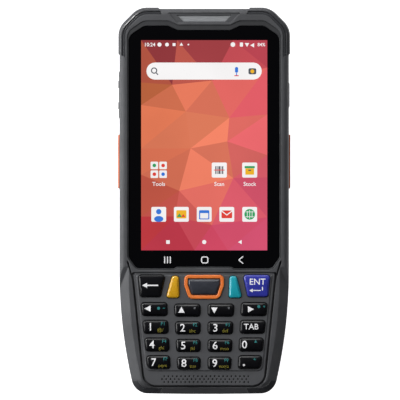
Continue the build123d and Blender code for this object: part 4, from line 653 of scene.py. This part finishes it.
# Labels and marks on the sides, the head end and the back. Each is drawn about the middle of the node it
# lies over, and faces out along an axis to one side, a lift above that node or the one it is stuck on.
labelLift = 0.02
labelInks = ["silverFoil", "blackInk", "cautionFilm", "whiteInk"]
foil, black, caution, pale = range(4)
eyeInks = ["tinnedSteel", "moduleLcp", "coatedLens", "phosphor"]
steel, barrel, lens, glowing = range(4)
typePlate = [
    ("bar", 0, 0, 0, 40, 24, foil, 1.0), ("lines", -17.5, 9.0, 1, (15, 21, 18, 20, 12), 1.9, 0.7, black),
    ("barCode", -3.5, -6.0, 1, 26, 5.5, black, 5), ("squareCode", 13.5, 4.5, 1, 9.0, 14, black, 6),
    ("frame", 13.5, -6.2, 1, 5.0, 5.0, 0.3, black, 0.4),
]
padlocks = [  # closed on one side of the screw, open on the other
    ("frame", -6.5, 1.0, 0, 1.7, 2.2, 0.35, pale, 0.7), ("bar", -6.5, -0.4, 1, 2.6, 2.0, pale, 0.3),
    ("frame", 7.3, 1.0, 0, 1.7, 2.2, 0.35, pale, 0.7), ("bar", 6.5, -0.4, 1, 2.6, 2.0, pale, 0.3),
]
packPrint = [
    ("bar", 0, 0, 0, 42, 50, pale, 1.5), ("lines", -18, 21, 1, (24, 30, 34, 20, 33, 28), 2.4, 0.8, black),
    ("barCode", -4, -2, 1, 26, 6, black, 9), ("disc", -13, -15, 1, 3.4, caution, 3),
    ("bar", -13, -14.6, 2, 0.6, 2.4, black), ("squareCode", 12, -15, 1, 8, 12, black, 10),
]
powerSign = [("frame", 0, 0, 0, 2.6, 2.6, 0.3, pale, 1.17), ("bar", 0, 1.04, 1, 0.8, 1.1, black),
             ("bar", 0, 1.04, 2, 0.3, 1.3, pale)]
plusAndMinus = [("bar", 0, -6.6, 0, 1.9, 0.4, pale), ("bar", 0, 6.6, 0, 1.9, 0.4, pale),
                ("bar", 0, 6.6, 1, 0.4, 1.9, pale)]
beamWarning = [("bar", 0, 0, 0, 3.8, 5.4, caution, 0.4), ("disc", 0, 0.6, 1, 1.7, black, 3),
               ("disc", 0, 0.55, 2, 1.1, caution, 3), ("bar", 0, -1.6, 1, 2.8, 0.4, black)]
eyes = [("disc", 4.4, 0, 0, 4.35, steel, 48), ("disc", 4.4, 0, 1, 3.828, barrel, 48),
        ("disc", 4.4, 0, 2, 2.697, steel, 48), ("disc", 4.4, 0, 3, 2.436, barrel, 48),
        ("disc", 4.4, 0, 4, 1.74, lens, 48), ("disc", -7.1, 0, 0, 1.6, steel, 32),
        ("disc", -7.1, 0, 1, 1.28, glowing, 32)]
labels = {
    "type_plate": {"over": "battery_door", "axis": 2, "side": -1, "shift": (0, 10.4, 0), "step": 0.02,
                   "marks": typePlate, "body": "battery_door"},
    "lock_marks": {"over": "battery_door", "axis": 2, "side": -1, "shift": (0, -37.6, 0), "step": 0.01,
                   "marks": padlocks, "body": "battery_door"},
    "pack_label": {"over": "battery_pack", "axis": 2, "side": -1, "step": 0.02, "marks": packPrint,
                   "body": "battery_pack"},
    "power_mark": {"over": "power_key", "axis": 0, "side": 1, "step": 0.01, "marks": powerSign,
                   "body": "power_key"},
    "volume_marks": {"over": "volume_rocker", "axis": 0, "side": -1, "step": 0.01, "marks": plusAndMinus,
                     "body": "volume_rocker"},
    "beam_label": {"over": "scan_window", "on": "rear_housing", "axis": 1, "side": 1, "shift": (14.7, 0, 0),
                   "step": 0.02, "marks": beamWarning, "body": "root"},
    "rear_eyes": {"over": "camera_lenses", "axis": 2, "side": -1, "step": 0.02, "marks": eyes,
                  "inks": eyeInks, "body": "root"},
}


def putLabel(name, look):
    bm = bmesh.new()
    draw(bm, look["marks"], look["step"])
    axis, side = look["axis"], look["side"]
    low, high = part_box(look["over"])
    place = (low + high) / 2 + Vector(look.get("shift", (0, 0, 0))) * mm
    low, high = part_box(look.get("on", look["over"]))
    place[axis] = (high if side > 0 else low)[axis] + side * labelLift * mm
    out = Vector((0, 0, 0))
    out[axis] = side
    up = Vector((0, 0, 1)) if axis == 1 else Vector((0, 1, 0))
    turn = Matrix((up.cross(out), up, out)).transposed().to_4x4()
    bmesh.ops.transform(bm, matrix=Matrix.Translation(place) @ turn, verts=bm.verts)
    newPiece(name, bm, [materials[ink] for ink in look.get("inks", labelInks)], look["body"])


for name, look in labels.items():
    putLabel(name, look)
print("labels done")

# stage, light and camera
stageLook = {"drop": 84.0, "size": 3.0, "floor": "#f4f4f5", "glow": 0.85, "fleck": 25.0, "detail": 4.0,
             "rough": (0.7, 0.9)}
material, tree = emptyMaterial("paleFloor")
place = addNode(tree, "ShaderNodeTexCoord").outputs["Object"]
fleck = addNode(tree, "ShaderNodeTexNoise", {
    "Vector": place, "Scale": stageLook["fleck"], "Detail": stageLook["detail"]})
rough = addNode(tree, "ShaderNodeMapRange", {
    "Value": fleck.outputs["Fac"], "To Min": stageLook["rough"][0], "To Max": stageLook["rough"][1]})
shader = addNode(tree, "ShaderNodeBsdfPrincipled", {
    "Base Color": colour(stageLook["floor"]), "Roughness": rough.outputs["Result"],
    "Emission Color": colour(stageLook["floor"]), "Emission Strength": stageLook["glow"]})
addNode(tree, "ShaderNodeOutputMaterial", {"Surface": shader.outputs["BSDF"]})
floorMesh = bmesh.new()
bmesh.ops.create_grid(floorMesh, x_segments=1, y_segments=1, size=stageLook["size"],
                      matrix=Matrix.Translation((0, 0, -stageLook["drop"] * mm)))
mesh = bpy.data.meshes.new("floor")
floorMesh.to_mesh(mesh)
floorMesh.free()
mesh.materials.append(material)
floor = bpy.data.objects.new("floor", mesh)
bpy.context.scene.collection.objects.link(floor)

# How the sky's strength changes along each axis: start, end, and the strength at both. The three multiply.
skyLook = {"tint": (0.97, 0.98, 1.0, 1.0),
           "slopes": {"X": (-0.8, 0.8, 1.15, 0.1), "Y": (-0.8, 0.5, 0.0, 1.0), "Z": (0.1, 0.9, 0.75, 0.1)}}
world = bpy.data.worlds.new("studio")
bpy.context.scene.world = world
world.use_nodes = True
tree = world.node_tree
tree.nodes.clear()
toSky = addNode(tree, "ShaderNodeTexCoord").outputs["Generated"]
skyward = addNode(tree, "ShaderNodeSeparateXYZ", {"Vector": toSky})
level = 1.0
for axis, (start, end, atStart, atEnd) in skyLook["slopes"].items():
    slope = addNode(tree, "ShaderNodeMapRange", {
        "Value": skyward.outputs[axis], "From Min": start, "From Max": end,
        "To Min": atStart, "To Max": atEnd})
    level = addNode(tree, "ShaderNodeMath", {0: level, 1: slope.outputs["Result"]},
                    operation="MULTIPLY").outputs["Value"]
sky = addNode(tree, "ShaderNodeBackground", {"Color": skyLook["tint"], "Strength": level})
addNode(tree, "ShaderNodeOutputWorld", {"Surface": sky.outputs["Background"]})

softBoxes = {
    "keyLeft": {"at": (-0.60, 0.16, 0.31), "aim": (0, 0, 0), "size": (0.6, 0.36), "watts": 3.3},
    "fillRight": {"at": (0.40, 0.35, 0.70), "aim": (0, 0, 0), "size": (0.4, 0.6), "watts": 0.25},
    "headTop": {"at": (0.0, 0.75, 0.50), "aim": (0, 0, 0), "size": (0.7, 0.3), "watts": 2.2},
    "cornerStrip": {"at": (-0.33, 0.37, 0.62), "aim": (-0.03, 0.07, 0), "size": (0.05, 0.16), "watts": 2.3},
}
for name, look in softBoxes.items():
    lamp = bpy.data.lights.new(name, "AREA")
    lamp.shape = "RECTANGLE"
    lamp.size, lamp.size_y = look["size"]
    lamp.energy = look["watts"]
    holder = bpy.data.objects.new(name, lamp)
    holder.location = look["at"]
    holder.rotation_euler = (Vector(look["aim"]) - Vector(look["at"])).to_track_quat("-Z", "Y").to_euler()
    bpy.context.scene.collection.objects.link(holder)

# Aimed at a point of a plane, of which it takes in the width across. Only the distance is in metres.
cameraLook = {"aim": (-1.73, 0.29), "plane": 21.0, "across": 164.4, "sensor": 36.0, "distance": 3.0}
cameraData = bpy.data.cameras.new("camera")
cameraData.type = "PERSP"
cameraData.sensor_width = cameraLook["sensor"]
cameraData.lens = cameraLook["sensor"] * cameraLook["distance"] / (cameraLook["across"] * mm)
cameraData.clip_end = 20.0
camera = bpy.data.objects.new("camera", cameraData)
camera.location = (cameraLook["aim"][0] * mm, cameraLook["aim"][1] * mm,
                   cameraLook["plane"] * mm + cameraLook["distance"])
bpy.context.scene.collection.objects.link(camera)
bpy.context.scene.camera = camera
bpy.context.scene.view_settings.view_transform = "Standard"
print("stage set")
